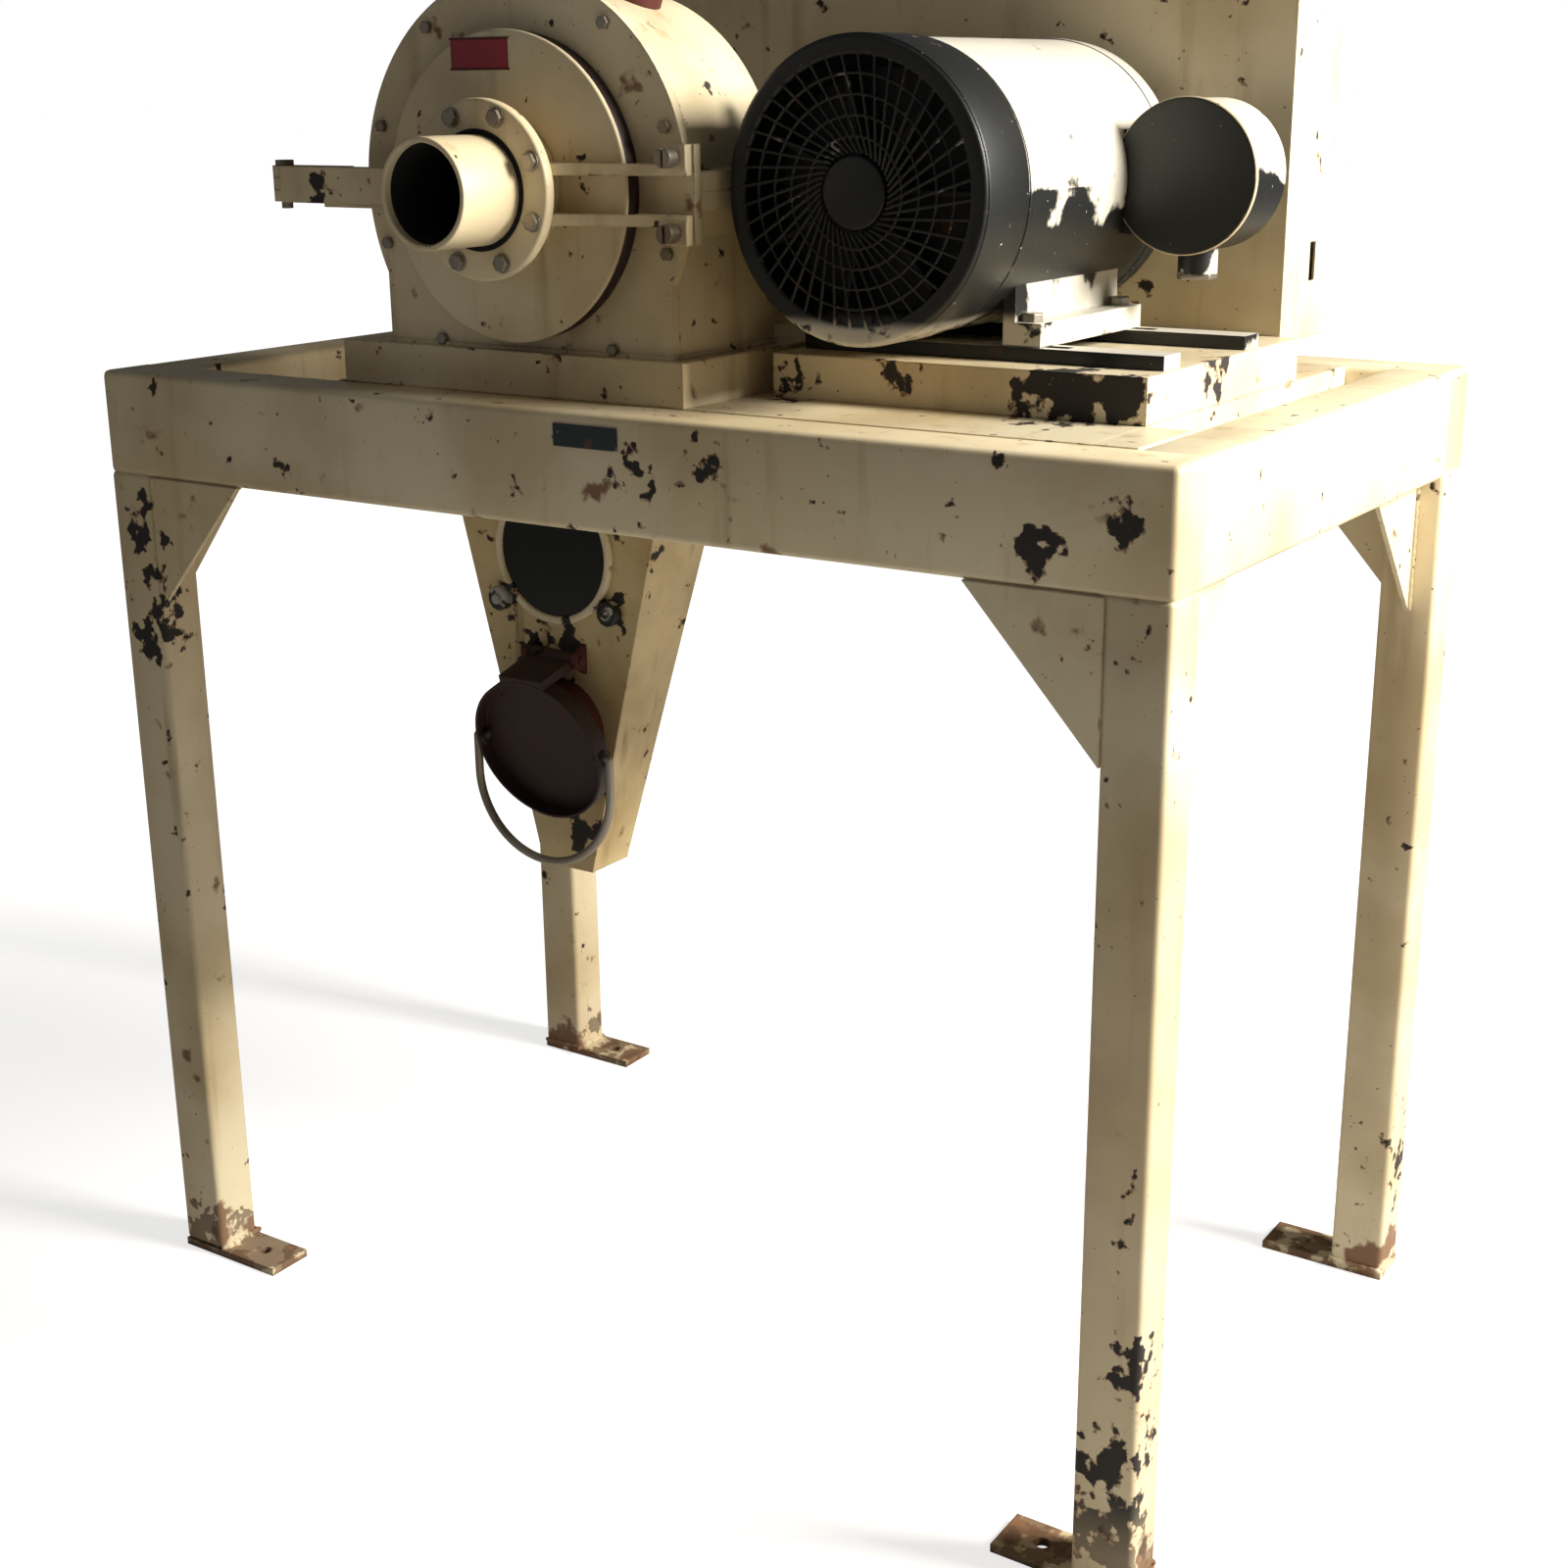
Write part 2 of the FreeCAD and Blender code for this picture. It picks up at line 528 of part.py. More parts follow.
# ------------------------------------------------------------------- door
def make_door():
    door = new_body("front_door")
    turn(door, [("pipe_tail_radius + 0.3", "door_front"), ("door_radius", "door_front"),
                ("door_radius", "seal_front"), ("pipe_tail_radius + 0.3", "seal_front")])
    place(door, "rotor_x", "0", "axis_z")
    seal = new_body("door_seal")
    turn(seal, [("seal_inner", "seal_front"), ("seal_outer", "seal_front"),
                ("seal_outer", "casing_front"), ("seal_inner", "casing_front")])
    place(seal, "rotor_x", "0", "axis_z")
    flange = new_body("inlet_flange")
    turn(flange, [("pipe_tail_radius + 0.3", "flange_front"), ("inlet_flange_radius", "flange_front"),
                  ("inlet_flange_radius", "hub_front"), ("hub_radius", "hub_front"),
                  ("hub_radius", "door_front"), ("pipe_tail_radius + 0.3", "door_front")])
    place(flange, "rotor_x", "0", "axis_z")
    pipe = new_body("inlet_pipe")
    step = ("pipe_tail_radius", "inlet_front + hose_seat_length")
    turn(pipe, [("inlet_outer - inlet_wall", "inlet_front"), ("inlet_outer", "inlet_front"),
                ("inlet_outer", step[1]), step, (step[0], "seal_front"),
                ("inlet_outer - inlet_wall", "seal_front")])
    place(pipe, "rotor_x", "0", "axis_z")


def make_flange_bolts():
    """The bolts' heads, whose shanks are hidden in the flange."""
    bolts = []
    count, front = int(size("flange_bolt_count")), size("flange_front")
    for i in range(count):
        angle = math.radians(22.5 + 360 * i / count)
        x = size("rotor_x") + size("flange_bolt_circle") * math.cos(angle)
        z = size("axis_z") + size("flange_bolt_circle") * math.sin(angle)
        bolts.append(hexagon(size("flange_bolt_head"), (x, front, z), (x, front - 7, z)))
    solid_group("flange_bolts", bolts)


def make_door_bars():
    """Two bars from the hub across the door, each ending in a lug for a clamp screw."""
    x0, z0 = size("rotor_x"), size("axis_z") + size("bar_drop")
    thick, lug = size("bar_thickness"), size("lug_size")
    nearest = size("bar_spread") / 2 - thick / 2 - abs(size("bar_drop"))
    root = math.sqrt(size("hub_radius") ** 2 - nearest ** 2) + 0.3
    tip, front, clear = x0 + size("bar_reach"), size("door_front"), size("casing_front") - 4
    rim = x0 + size("door_radius") + 6
    profile = [(x0 + root, front), (x0 + root, size("hub_front") + 1), (x0 + root + 14, size("hub_front") + 1),
               (tip, clear - 10), (tip, clear), (rim, clear), (rim, front)]
    bars = []
    for sign in (-1, 1):
        middle = z0 + sign * size("bar_spread") / 2
        ring = [Vector(x, y, middle - thick / 2) for x, y in profile]
        bar = Part.Face(Part.makePolygon(ring + ring[:1])).extrude(Vector(0, 0, thick))
        screw_z = z0 + sign * size("screw_spread") / 2
        low, high = sorted((middle, screw_z + sign * lug / 2))
        bar = bar.fuse(box(tip - lug, clear - 12, low, tip, clear, high)).removeSplitter()
        x = tip - lug / 2
        bars.append(bar.cut(rod(size("screw_radius") + size("running_clearance"),
                                (x, clear - 40, screw_z), (x, clear + 1, screw_z))))
    solid_group("door_bars", bars)


def make_clamp_screws():
    for label, sign in (("clamp_screw_upper", "+"), ("clamp_screw_lower", "-")):
        screw = new_body(label)
        add_slab(screw, "Y", "casing_front - 38", "16", [], [(("0", "0"), "screw_head")])
        add_slab(screw, "Y", "casing_front - 22", "21.7", [], [(("0", "0"), "screw_radius")])
        cut_slab(screw, "Y", "casing_front - 38", "5", [around("1.5", "screw_head + 1")])
        place(screw, "rotor_x + bar_reach - lug_size / 2", "0",
              f"axis_z + bar_drop {sign} screw_spread / 2")


def make_door_hinge():
    """Arm, bracket and pin: the door turns about an upright pin left of the casing."""
    arm = new_body("hinge_arm")
    turned_end = "hinge_x - rotor_x + knuckle_radius + 1"
    add_slab(arm, "Z", "-arm_height / 2", "arm_height", [rectangle(
        turned_end, "door_front - arm_thickness", "-hub_radius - 1", "door_front")])
    third = "arm_height / 3"
    add_slab(arm, "Z", f"-{third} / 2", third, [
        [("hinge_x - rotor_x", "hinge_y - knuckle_radius"),
         (f"{turned_end} + 12", "door_front - arm_thickness + 1"),
         (f"{turned_end} + 12", "door_front - 1"), ("hinge_x - rotor_x + 6", "hinge_y")]])
    add_slab(arm, "Z", f"-{third} / 2", third, [], [(("hinge_x - rotor_x", "hinge_y"), "knuckle_radius")])
    cut_slab(arm, "Z", f"-{third} / 2", third, [],
             [(("hinge_x - rotor_x", "hinge_y"), "hinge_pin_radius + running_clearance")])
    place(arm, "rotor_x", "0", "axis_z")

    bracket = new_body("hinge_bracket")
    add_slab(bracket, "Z", "-arm_height / 2", "arm_height", [rectangle(
        "hinge_x", "casing_front - bracket_thickness", "ear_left + bracket_pad", "casing_front")])
    for low in ("-arm_height / 2", "arm_height / 6 + 0.3"):
        add_slab(bracket, "Z", low, f"{third} - 0.3", [],
                 [(("hinge_x", "hinge_y"), "knuckle_radius")])
    cut_slab(bracket, "Z", "-arm_height / 6 - 0.3", f"{third} + 0.6", [],
             [(("hinge_x", "hinge_y"), "knuckle_radius + 1")])
    cut_slab(bracket, "Z", "-arm_height / 2", "arm_height", [],
             [(("hinge_x", "hinge_y"), "hinge_pin_radius + running_clearance")])
    place(bracket, "0", "0", "axis_z")

    pin = new_body("hinge_pin")
    add_slab(pin, "Z", "-arm_height / 2 - 8", "arm_height + 8", [],
             [(("0", "0"), "hinge_pin_radius")])
    add_slab(pin, "Z", "arm_height / 2", "6", [], [(("0", "0"), "hinge_pin_radius + 4")])
    place(pin, "hinge_x", "hinge_y", "axis_z")

    bolts, front = [], size("casing_front") - size("bracket_thickness")
    for x in (size("ear_left") + 14, size("ear_left") + 36):
        bolts.append(hexagon(9, (x, front, size("axis_z")), (x, front - 6, size("axis_z"))))
    solid_group("hinge_bolts", bolts)


def make_door_label():
    label = new_body("door_label")
    add_slab(label, "Y", "door_front - label_thickness", "label_thickness",
             [around("label_width / 2", "label_height / 2")])
    place(label, "label_x", "0", "label_z")


# ------------------------------------------------------------------ rotor
def make_rotor():
    shaft = new_body("main_shaft")
    turn(shaft, [("0", "rotor_rear - rotor_disc - rotor_hub_length"),
                 ("shaft_radius", "rotor_rear - rotor_disc - rotor_hub_length"),
                 ("shaft_radius", "pulley_front - 4"), ("pulley_seat_radius", "pulley_front - 4"),
                 ("pulley_seat_radius", "pulley_rear + 6"), ("0", "pulley_rear + 6")])
    place(shaft, "rotor_x", "0", "axis_z")

    disc = new_body("rotor_disc")
    bore = "shaft_radius + running_clearance"
    turn(disc, [(bore, "rotor_rear - rotor_disc - rotor_hub_length"),
                ("rotor_hub_radius", "rotor_rear - rotor_disc - rotor_hub_length"),
                ("rotor_hub_radius", "rotor_rear - rotor_disc"),
                ("rotor_radius", "rotor_rear - rotor_disc"), ("rotor_radius", "rotor_rear"),
                (bore, "rotor_rear")])
    place(disc, "rotor_x", "0", "axis_z")

    blades = new_body("rotor_blades")
    turn(blades, [("rotor_radius - blade_height", "rotor_rear - rotor_disc - blade_length - 8"),
                  ("rotor_radius", "rotor_rear - rotor_disc - blade_length - 8"),
                  ("rotor_radius", "rotor_rear - rotor_disc - blade_length"),
                  ("rotor_radius - blade_height", "rotor_rear - rotor_disc - blade_length")])
    blade = add_slab(blades, "Y", "rotor_rear - rotor_disc - blade_length", "blade_length", [
        rectangle("rotor_radius - blade_height + 1", "-blade_thickness / 2",
                  "rotor_radius - 1", "blade_thickness / 2")])
    repeat_round(blades, blade, "blade_count")
    place(blades, "rotor_x", "0", "axis_z")


def pulley_profile(radius, bore):
    """Corners of a grooved pulley's half section."""
    corners = [(bore, "pulley_front"), (radius, "pulley_front")]
    for i in range(int(size("groove_count"))):
        middle = f"pulley_front + pulley_edge + {i} * groove_pitch"
        corners += [(radius, f"{middle} - groove_width / 2"),
                    (f"{radius} - groove_depth", f"{middle} - groove_width / 2"),
                    (f"{radius} - groove_depth", f"{middle} + groove_width / 2"),
                    (radius, f"{middle} + groove_width / 2")]
    return corners + [(radius, "pulley_rear"), (bore, "pulley_rear")]


def make_pulleys():
    for label, radius, bore, x in (
            ("driven_pulley", "driven_radius", "pulley_seat_radius + running_clearance", "rotor_x"),
            ("motor_pulley", "driver_radius", "motor_shaft_radius + running_clearance", "motor_x")):
        pulley = new_body(label)
        turn(pulley, pulley_profile(radius, bore))
        place(pulley, x, "0", "axis_z")


def loop_face(small, large, distance):
    """The face inside an open belt's line round two pulleys, both centres on X."""
    tilt = math.acos((large - small) / distance)
    ends = [(0.0, small), (distance, large)]
    lower = [Vector(x + r * math.cos(math.pi - tilt), 0, -r * math.sin(math.pi - tilt)) for x, r in ends]
    upper = [Vector(p.x, 0, -p.z) for p in lower]
    edges = [Part.LineSegment(upper[0], upper[1]).toShape(),
             Part.Arc(upper[1], Vector(distance + large, 0, 0), lower[1]).toShape(),
             Part.LineSegment(lower[1], lower[0]).toShape(),
             Part.Arc(lower[0], Vector(-small, 0, 0), upper[0]).toShape()]
    return Part.Face(Part.Wire(edges))


def make_belts():
    distance = size("motor_x") - size("rotor_x")
    seat = size("groove_depth") - size("belt_clearance")
    inner = [size("driven_radius") - seat, size("driver_radius") - seat]
    outer = [radius + size("belt_height") for radius in inner]
    width = size("groove_width") - 2 * size("belt_clearance")
    belts = []
    for i in range(int(size("groove_count"))):
        front = size("pulley_front") + size("pulley_edge") + i * size("groove_pitch") - width / 2
        ring = loop_face(*outer, distance).cut(loop_face(*inner, distance))
        ring.translate(Vector(size("rotor_x"), front, size("axis_z")))
        belts.append(ring.extrude(Vector(0, width, 0)).Solids[0])
    solid_group("v_belts", belts)


def make_bearings():
    pedestal = new_body("bearing_pedestal")
    add_slab(pedestal, "Z", "base_top", "axis_rise - pedestal_drop", [rectangle(
        "-pedestal_half", "pedestal_front", "pedestal_half", "pedestal_rear")])
    cut_slab(pedestal, "Z", "base_top", "axis_rise - pedestal_drop - pedestal_wall", [rectangle(
        "-pedestal_half + pedestal_wall", "pedestal_front + pedestal_wall",
        "pedestal_half - pedestal_wall", "pedestal_rear - pedestal_wall")])
    place(pedestal, "rotor_x")
    for name, middle in (("front", "bearing_front"), ("rear", "bearing_rear")):
        housing = new_body(f"bearing_housing_{name}")
        start = f"{middle} - housing_width / 2"
        add_slab(housing, "Y", start, "housing_width", [rectangle(
            "-pedestal_half + 4", "-pedestal_drop", "pedestal_half - 4",
            "-pedestal_drop + housing_foot")])
        add_slab(housing, "Y", start, "housing_width", [rectangle(
            "-housing_radius", "-pedestal_drop", "housing_radius", "0")])
        add_slab(housing, "Y", start, "housing_width", [], [(("0", "0"), "housing_radius")])
        cut_slab(housing, "Y", start, "housing_width", [], [(("0", "0"), "bearing_radius")])
        place(housing, "rotor_x", "0", "axis_z")
        bearing = new_body(f"bearing_{name}")
        inner = "shaft_radius + running_clearance"
        turn(bearing, [(inner, f"{middle} - bearing_width / 2"),
                       ("bearing_radius", f"{middle} - bearing_width / 2"),
                       ("bearing_radius", f"{middle} + bearing_width / 2"),
                       (inner, f"{middle} + bearing_width / 2")])
        place(bearing, "rotor_x", "0", "axis_z")


def make_guard():
    """Sheet-metal box round the belts, closed behind by a cover."""
    guard = new_body("belt_guard")
    depth = "guard_rear - guard_front"
    add_slab(guard, "Y", "guard_front", depth, [rectangle(
        "guard_left", "guard_bottom", "guard_right", "guard_bottom + guard_height")])
    cut_slab(guard, "Y", "guard_front + guard_sheet", f"{depth} - guard_sheet", [rectangle(
        "guard_left + guard_sheet", "guard_bottom + guard_sheet",
        "guard_right - guard_sheet", "guard_bottom + guard_height - guard_sheet")])
    cut_slab(guard, "Y", "guard_front", "guard_sheet", [],
             [(("rotor_x", "axis_z"), "shaft_radius + 10")])
    slot = rectangle("motor_x - slide_travel - 30", "axis_z - 30", "motor_x + slide_travel + 30",
                     "axis_z + 30")
    cut_slab(guard, "Y", "guard_front", "guard_sheet", [slot])
    cut_slab(guard, "X", "guard_right - guard_sheet", "guard_sheet", [rectangle(
        "guard_slot_y - guard_slot_radius", "guard_bottom + guard_slot_z - guard_slot_length / 2",
        "guard_slot_y + guard_slot_radius", "guard_bottom + guard_slot_z + guard_slot_length / 2")])
    cover = new_body("guard_cover")
    add_slab(cover, "Y", "guard_rear", "guard_sheet", [rectangle(
        "guard_left", "guard_bottom", "guard_right", "guard_bottom + guard_height")])
    add_slab(cover, "Y", "guard_rear - 12", "12", [
        rectangle("guard_left + guard_sheet + 0.3", "guard_bottom + guard_sheet + 0.3",
                  "guard_right - guard_sheet - 0.3",
                  "guard_bottom + guard_height - guard_sheet - 0.3"),
        rectangle("guard_left + 2 * guard_sheet + 0.3", "guard_bottom + 2 * guard_sheet + 0.3",
                  "guard_right - 2 * guard_sheet - 0.3",
                  "guard_bottom + guard_height - 2 * guard_sheet - 0.3")])
    brackets, back = [], size("guard_rear") + size("guard_sheet")
    low, high = size("frame_height"), size("guard_bottom") + 50
    for x in (size("guard_left") + 120, size("guard_right") - 110):
        upright = box(x - 30, back, low, x + 30, back + 6, high)
        brackets.append(upright.fuse(box(x - 30, back, low, x + 30, size("frame_width") / 2 - 20,
                                         low + 6)).removeSplitter())
    solid_group("guard_brackets", brackets)


# ------------------------------------------------------------------ motor
def make_motor_frame():
    frame = new_body("motor_frame")
    turn(frame, [("motor_shaft_radius + 0.5", "motor_rear"), ("motor_rim_radius", "motor_rear"),
                 ("motor_rim_radius", "motor_rear + motor_rim_length"),
                 ("motor_radius", "motor_rear + motor_rim_length"),
                 ("motor_radius", "bell_rear"), ("motor_radius - motor_wall", "bell_rear"),
                 ("motor_radius - motor_wall", "motor_rear + motor_wall"),
                 ("motor_shaft_radius + 0.5", "motor_rear + motor_wall")])
    for side in ("", "-"):
        start = "motor_bolt_front - bolt_span - foot_half"
        span = "bolt_span + 2 * foot_half"
        inner, outer = f"{side}(foot_spread - foot_half)", f"{side}(foot_spread + foot_half)"
        left, right = (inner, outer) if side == "" else (outer, inner)
        add_slab(frame, "Y", start, span, [rectangle(
            left, "-motor_centre_height", right, "-motor_centre_height + foot_pad")])
        web_in, web_out = f"{side}(foot_spread - 26)", f"{side}(foot_spread - 12)"
        left, right = (web_in, web_out) if side == "" else (web_out, web_in)
        add_slab(frame, "Y", start, span, [rectangle(
            left, "-motor_centre_height", right, "-motor_radius * 0.55")])
        for hole_y in ("motor_bolt_front", "motor_bolt_front - bolt_span"):
            cut_slab(frame, "Z", "-motor_centre_height", "foot_pad", [], [
                ((f"{side}foot_spread", hole_y), "motor_bolt_radius + 1")])
    place(frame, "motor_x", "0", "axis_z")

    bell = new_body("motor_end_bell")
    turn(bell, [("motor_radius - 14", "bell_rear"), ("motor_radius", "bell_rear"),
                ("motor_radius", "motor_front - 16"), ("motor_radius - 16", "motor_front"),
                ("motor_boss_radius", "motor_front"),
                ("motor_boss_radius", "motor_front + motor_boss_length"),
                ("motor_shaft_radius + 0.5", "motor_front + motor_boss_length"),
                ("motor_shaft_radius + 0.5", "motor_front - motor_wall"),
                ("motor_radius - 26", "motor_front - motor_wall"),
                ("motor_radius - 14", "motor_front - motor_wall - 12")])
    place(bell, "motor_x", "0", "axis_z")

    lean = math.radians(size("eye_lean_deg"))
    out = Vector(-math.sin(lean), 0, math.cos(lean))
    middle = Vector(size("motor_x"), size("eye_y"), size("axis_z")) + out * (size("motor_radius") + 18)
    eye = box(-15, -7, -20, 15, 7, 0).fuse(rod(15, (0, -7, 0), (0, 7, 0)))
    eye = eye.cut(rod(8, (0, -8, 0), (0, 8, 0)))
    eye.Placement = Placement(middle, Rotation(Vector(0, 1, 0), -size("eye_lean_deg")))
    eye = eye.cut(rod(size("motor_radius"), (size("motor_x"), -300, size("axis_z")),
                      (size("motor_x"), 200, size("axis_z"))))
    solid_group("lifting_eye", [eye.removeSplitter()])


def make_motor_shaft():
    shaft = new_body("motor_shaft")
    core_front = "-(core_length / 2) - 8"
    core_rear = "core_length / 2 - 8"
    turn(shaft, [("0", "cowl_face + 18"), ("fan_shaft_radius", "cowl_face + 18"),
                 ("fan_shaft_radius", "fan_back + 20"), ("motor_shaft_radius", "fan_back + 20"),
                 ("motor_shaft_radius", core_front), ("core_radius", core_front),
                 ("core_radius", core_rear), ("motor_shaft_radius", core_rear),
                 ("motor_shaft_radius", "pulley_rear + 6"), ("0", "pulley_rear + 6")])
    place(shaft, "motor_x", "0", "axis_z")


def make_fan_and_cowl():
    fan = new_body("cooling_fan")
    bore = "fan_shaft_radius + running_clearance"
    turn(fan, [(bore, "fan_back - fan_width"), ("fan_hub_radius", "fan_back - fan_width"),
               ("fan_hub_radius", "fan_back - 5"), ("fan_radius", "fan_back - 5"),
               ("fan_radius", "fan_back"), (bore, "fan_back")])
    blade = add_slab(fan, "Y", "fan_back - fan_width + 6", "fan_width - 9", [
        rectangle("fan_hub_radius - 2", "-2.5", "fan_radius", "2.5")])
    repeat_round(fan, blade, "fan_blades")
    place(fan, "motor_x", "0", "axis_z")

    cowl = new_body("fan_cowl")
    inner = "cowl_radius - cowl_wall"
    end = "motor_rear + motor_rim_length - 1"
    turn(cowl, [("0", "cowl_face"), ("cowl_radius - 12", "cowl_face"),
                ("cowl_radius", "cowl_face + 12"), ("cowl_radius", end), (inner, end),
                (inner, "cowl_face + 12 + cowl_wall"),
                ("cowl_radius - 12 - cowl_wall", "cowl_face + cowl_wall"),
                ("0", "cowl_face + cowl_wall")])
    slot = cut_slab(cowl, "Y", "cowl_face - 1", "cowl_wall + 2", [
        rectangle("cowl_slot_inner", "-cowl_slot_width / 2", "cowl_slot_outer", "cowl_slot_width / 2")])
    repeat_round(cowl, slot, "cowl_slots")
    place(cowl, "motor_x", "0", "axis_z")


def make_terminal_box():
    """Round box on the motor's right, with a lid in front and a conduit hub below."""
    house = new_body("terminal_box")
    depth, centre = "box_rear - box_front", ("box_x", "box_rise")
    add_slab(house, "Y", "box_front", depth, [], [(centre, "box_radius")])
    add_slab(house, "Y", "box_front", depth, [rectangle(
        "motor_radius - 30", "-box_neck", "box_x", "box_neck")])
    hub = ("box_x", "(box_front + box_rear) / 2")
    add_slab(house, "Z", "box_rise - box_radius - hub_drop", "hub_drop + box_wall", [],
             [(hub, "conduit_radius + 8")])
    cut_slab(house, "Y", "box_front", f"{depth} - box_wall", [], [(centre, "box_radius - box_wall")])
    cut_slab(house, "Z", "box_rise - box_radius - hub_drop", "hub_drop + 2 * box_wall", [],
             [(hub, "conduit_radius")])
    cut_slab(house, "Y", "box_front", depth, [], [(("0", "0"), "motor_radius")])
    place(house, "motor_x", "0", "axis_z")
    lid = new_body("terminal_cover")
    add_slab(lid, "Y", "box_front - box_lid", "box_lid", [], [(centre, "box_radius + 1")])
    cut_slab(lid, "Y", "box_front - box_lid", "box_lid", [], [(("0", "0"), "motor_radius + 0.2")])
    place(lid, "motor_x", "0", "axis_z")


def make_slide_rails():
    """Two slotted rails under the motor's feet, and the foot bolts in their slots."""
    rails, bolts = [], []
    low, high, half = size("base_top"), size("foot_rest"), size("slide_width") / 2
    slot = size("motor_bolt_radius") + 1
    level = high + size("foot_pad")
    for y in (size("motor_bolt_front"), size("motor_bolt_front") - size("bolt_span")):
        rail = box(size("slide_left"), y - half, low, size("slide_right"), y + half, high)
        for side in (-1, 1):
            x = size("motor_x") + side * size("foot_spread")
            rail = rail.cut(box(x - slot - 4, y - slot, low, x + slot + size("slide_travel") + 2,
                                y + slot, high))
            bolts.append(bolt(size("motor_bolt_radius"), 11.5, (x, y, level), (x, y, low + 2),
                              (x, y, level + 9)))
        rails.append(rail)
    solid_group("slide_rails", rails)
    solid_group("motor_bolts", bolts)


# ------------------------------------------------------------------ chute
def chute_section(z, inset):
    """The chute's rectangular section at a height, inset from its outer faces."""
    share = (z - size("chute_bottom")) / (size("chute_top") - size("chute_bottom"))
    half = size("chute_bottom_half") + share * (size("chute_top_half") - size("chute_bottom_half"))
    depth = size("chute_bottom_depth") + share * (size("chute_top_depth") - size("chute_bottom_depth"))
    x0, y0 = size("rotor_x"), size("chute_front")
    corners = [(x0 - half + inset, y0 + inset), (x0 + half - inset, y0 + inset),
               (x0 + half - inset, y0 + depth - inset), (x0 - half + inset, y0 + depth - inset)]
    ring = [Vector(x, y, z) for x, y in corners]
    return Part.makePolygon(ring + ring[:1])


def make_chute():
    top, bottom = size("chute_top"), size("chute_bottom")
    outer = Part.makeLoft([chute_section(bottom, 0), chute_section(top, 0)], True, True)
    inner = Part.makeLoft([chute_section(bottom - 1, size("chute_wall")),
                           chute_section(top + 1, size("chute_wall"))], True, True)
    body = outer.cut(inner)
    x, front = size("rotor_x"), size("chute_front")
    window = size("window_height")
    body = body.cut(rod(size("window_radius") - 4, (x, front - 1, window), (x, front + 5, window)))
    spout = size("spout_height")
    body = body.cut(rod(size("spout_radius") - size("spout_wall"), (x, front - 1, spout),
                        (x, front + 5, spout)))
    solid_group("chute_body", [body])

    ring = rod(size("window_radius") + size("window_ring"), (x, front - size("window_depth"), window),
               (x, front, window))
    ring = ring.cut(rod(size("window_radius"), (x, front - size("window_depth") - 1, window),
                        (x, front + 1, window)))
    knobs = []
    for side in (-1, 1):
        for rise in (-1, 1):
            kx, kz = x + side * size("window_bolt_x"), window + rise * size("window_bolt_drop")
            knobs.append(rod(size("knob_radius"), (kx, front, kz), (kx, front - 16, kz)))
    solid_group("window_ring", [ring])
    solid_group("window_knobs", knobs)
    glass = rod(size("window_radius") - size("running_clearance"), (x, front - 5, window),
                (x, front, window))
    solid_group("window_glass", [glass])


def tilted(shape):
    """Moves a shape from the flap's own frame, facing -Y, to its place on the chute."""
    centre = Vector(size("rotor_x"), size("chute_front") - size("spout_stand_off"),
                    size("spout_height"))
    shape.Placement = Placement(centre, Rotation(Vector(1, 0, 0), size("spout_tilt_deg")))
    return shape


def flap_hinge_point():
    """The hinge's (y, z) in the flap's own frame."""
    return size("flap_hinge_back"), size("flap_hinge_rise")


def make_spout():
    """Short collar on the chute's face and the two lugs that carry the flap's pin."""
    radius, wall = size("spout_radius"), size("spout_wall")
    tube = rod(radius, (0, 0, 0), (0, 80, 0)).cut(rod(radius - wall, (0, -1, 0), (0, 81, 0)))
    tube = tilted(tube)
    keep = box(-400, -500, 0, 200, size("chute_front"), size("frame_height"))
    collar = tube.common(keep)
    hinge_y, hinge_z = flap_hinge_point()
    place_pin = tilted(Part.Vertex(Vector(0, hinge_y, hinge_z))).Point
    lugs = []
    for side in (-1, 1):
        x = size("rotor_x") + side * size("flap_lug_spread") - size("flap_lug") / 2
        z, y, r = place_pin.z, place_pin.y, size("flap_knuckle_radius")
        ring = [Vector(x, y, z + r), Vector(x, size("chute_front"), z + r + 8),
                Vector(x, size("chute_front"), z - 18), Vector(x, y, z - r)]
        lug = Part.Face(Part.makePolygon(ring + ring[:1])).extrude(Vector(size("flap_lug"), 0, 0))
        lug = lug.fuse(rod(r, (x, y, z), (x + size("flap_lug"), y, z))).removeSplitter()
        hole = rod(size("flap_pin_radius") + size("running_clearance"), (x - 1, y, z),
                   (x + size("flap_lug") + 1, y, z))
        lugs.append(lug.cut(hole))
    solid_group("chute_spout", [collar.Solids[0], *lugs])
    half = size("flap_lug_spread") + size("flap_lug")
    pin = rod(size("flap_pin_radius"), (size("rotor_x") - half, place_pin.y, place_pin.z),
              (size("rotor_x") + half, place_pin.y, place_pin.z))
    solid_group("flap_pin", [pin])


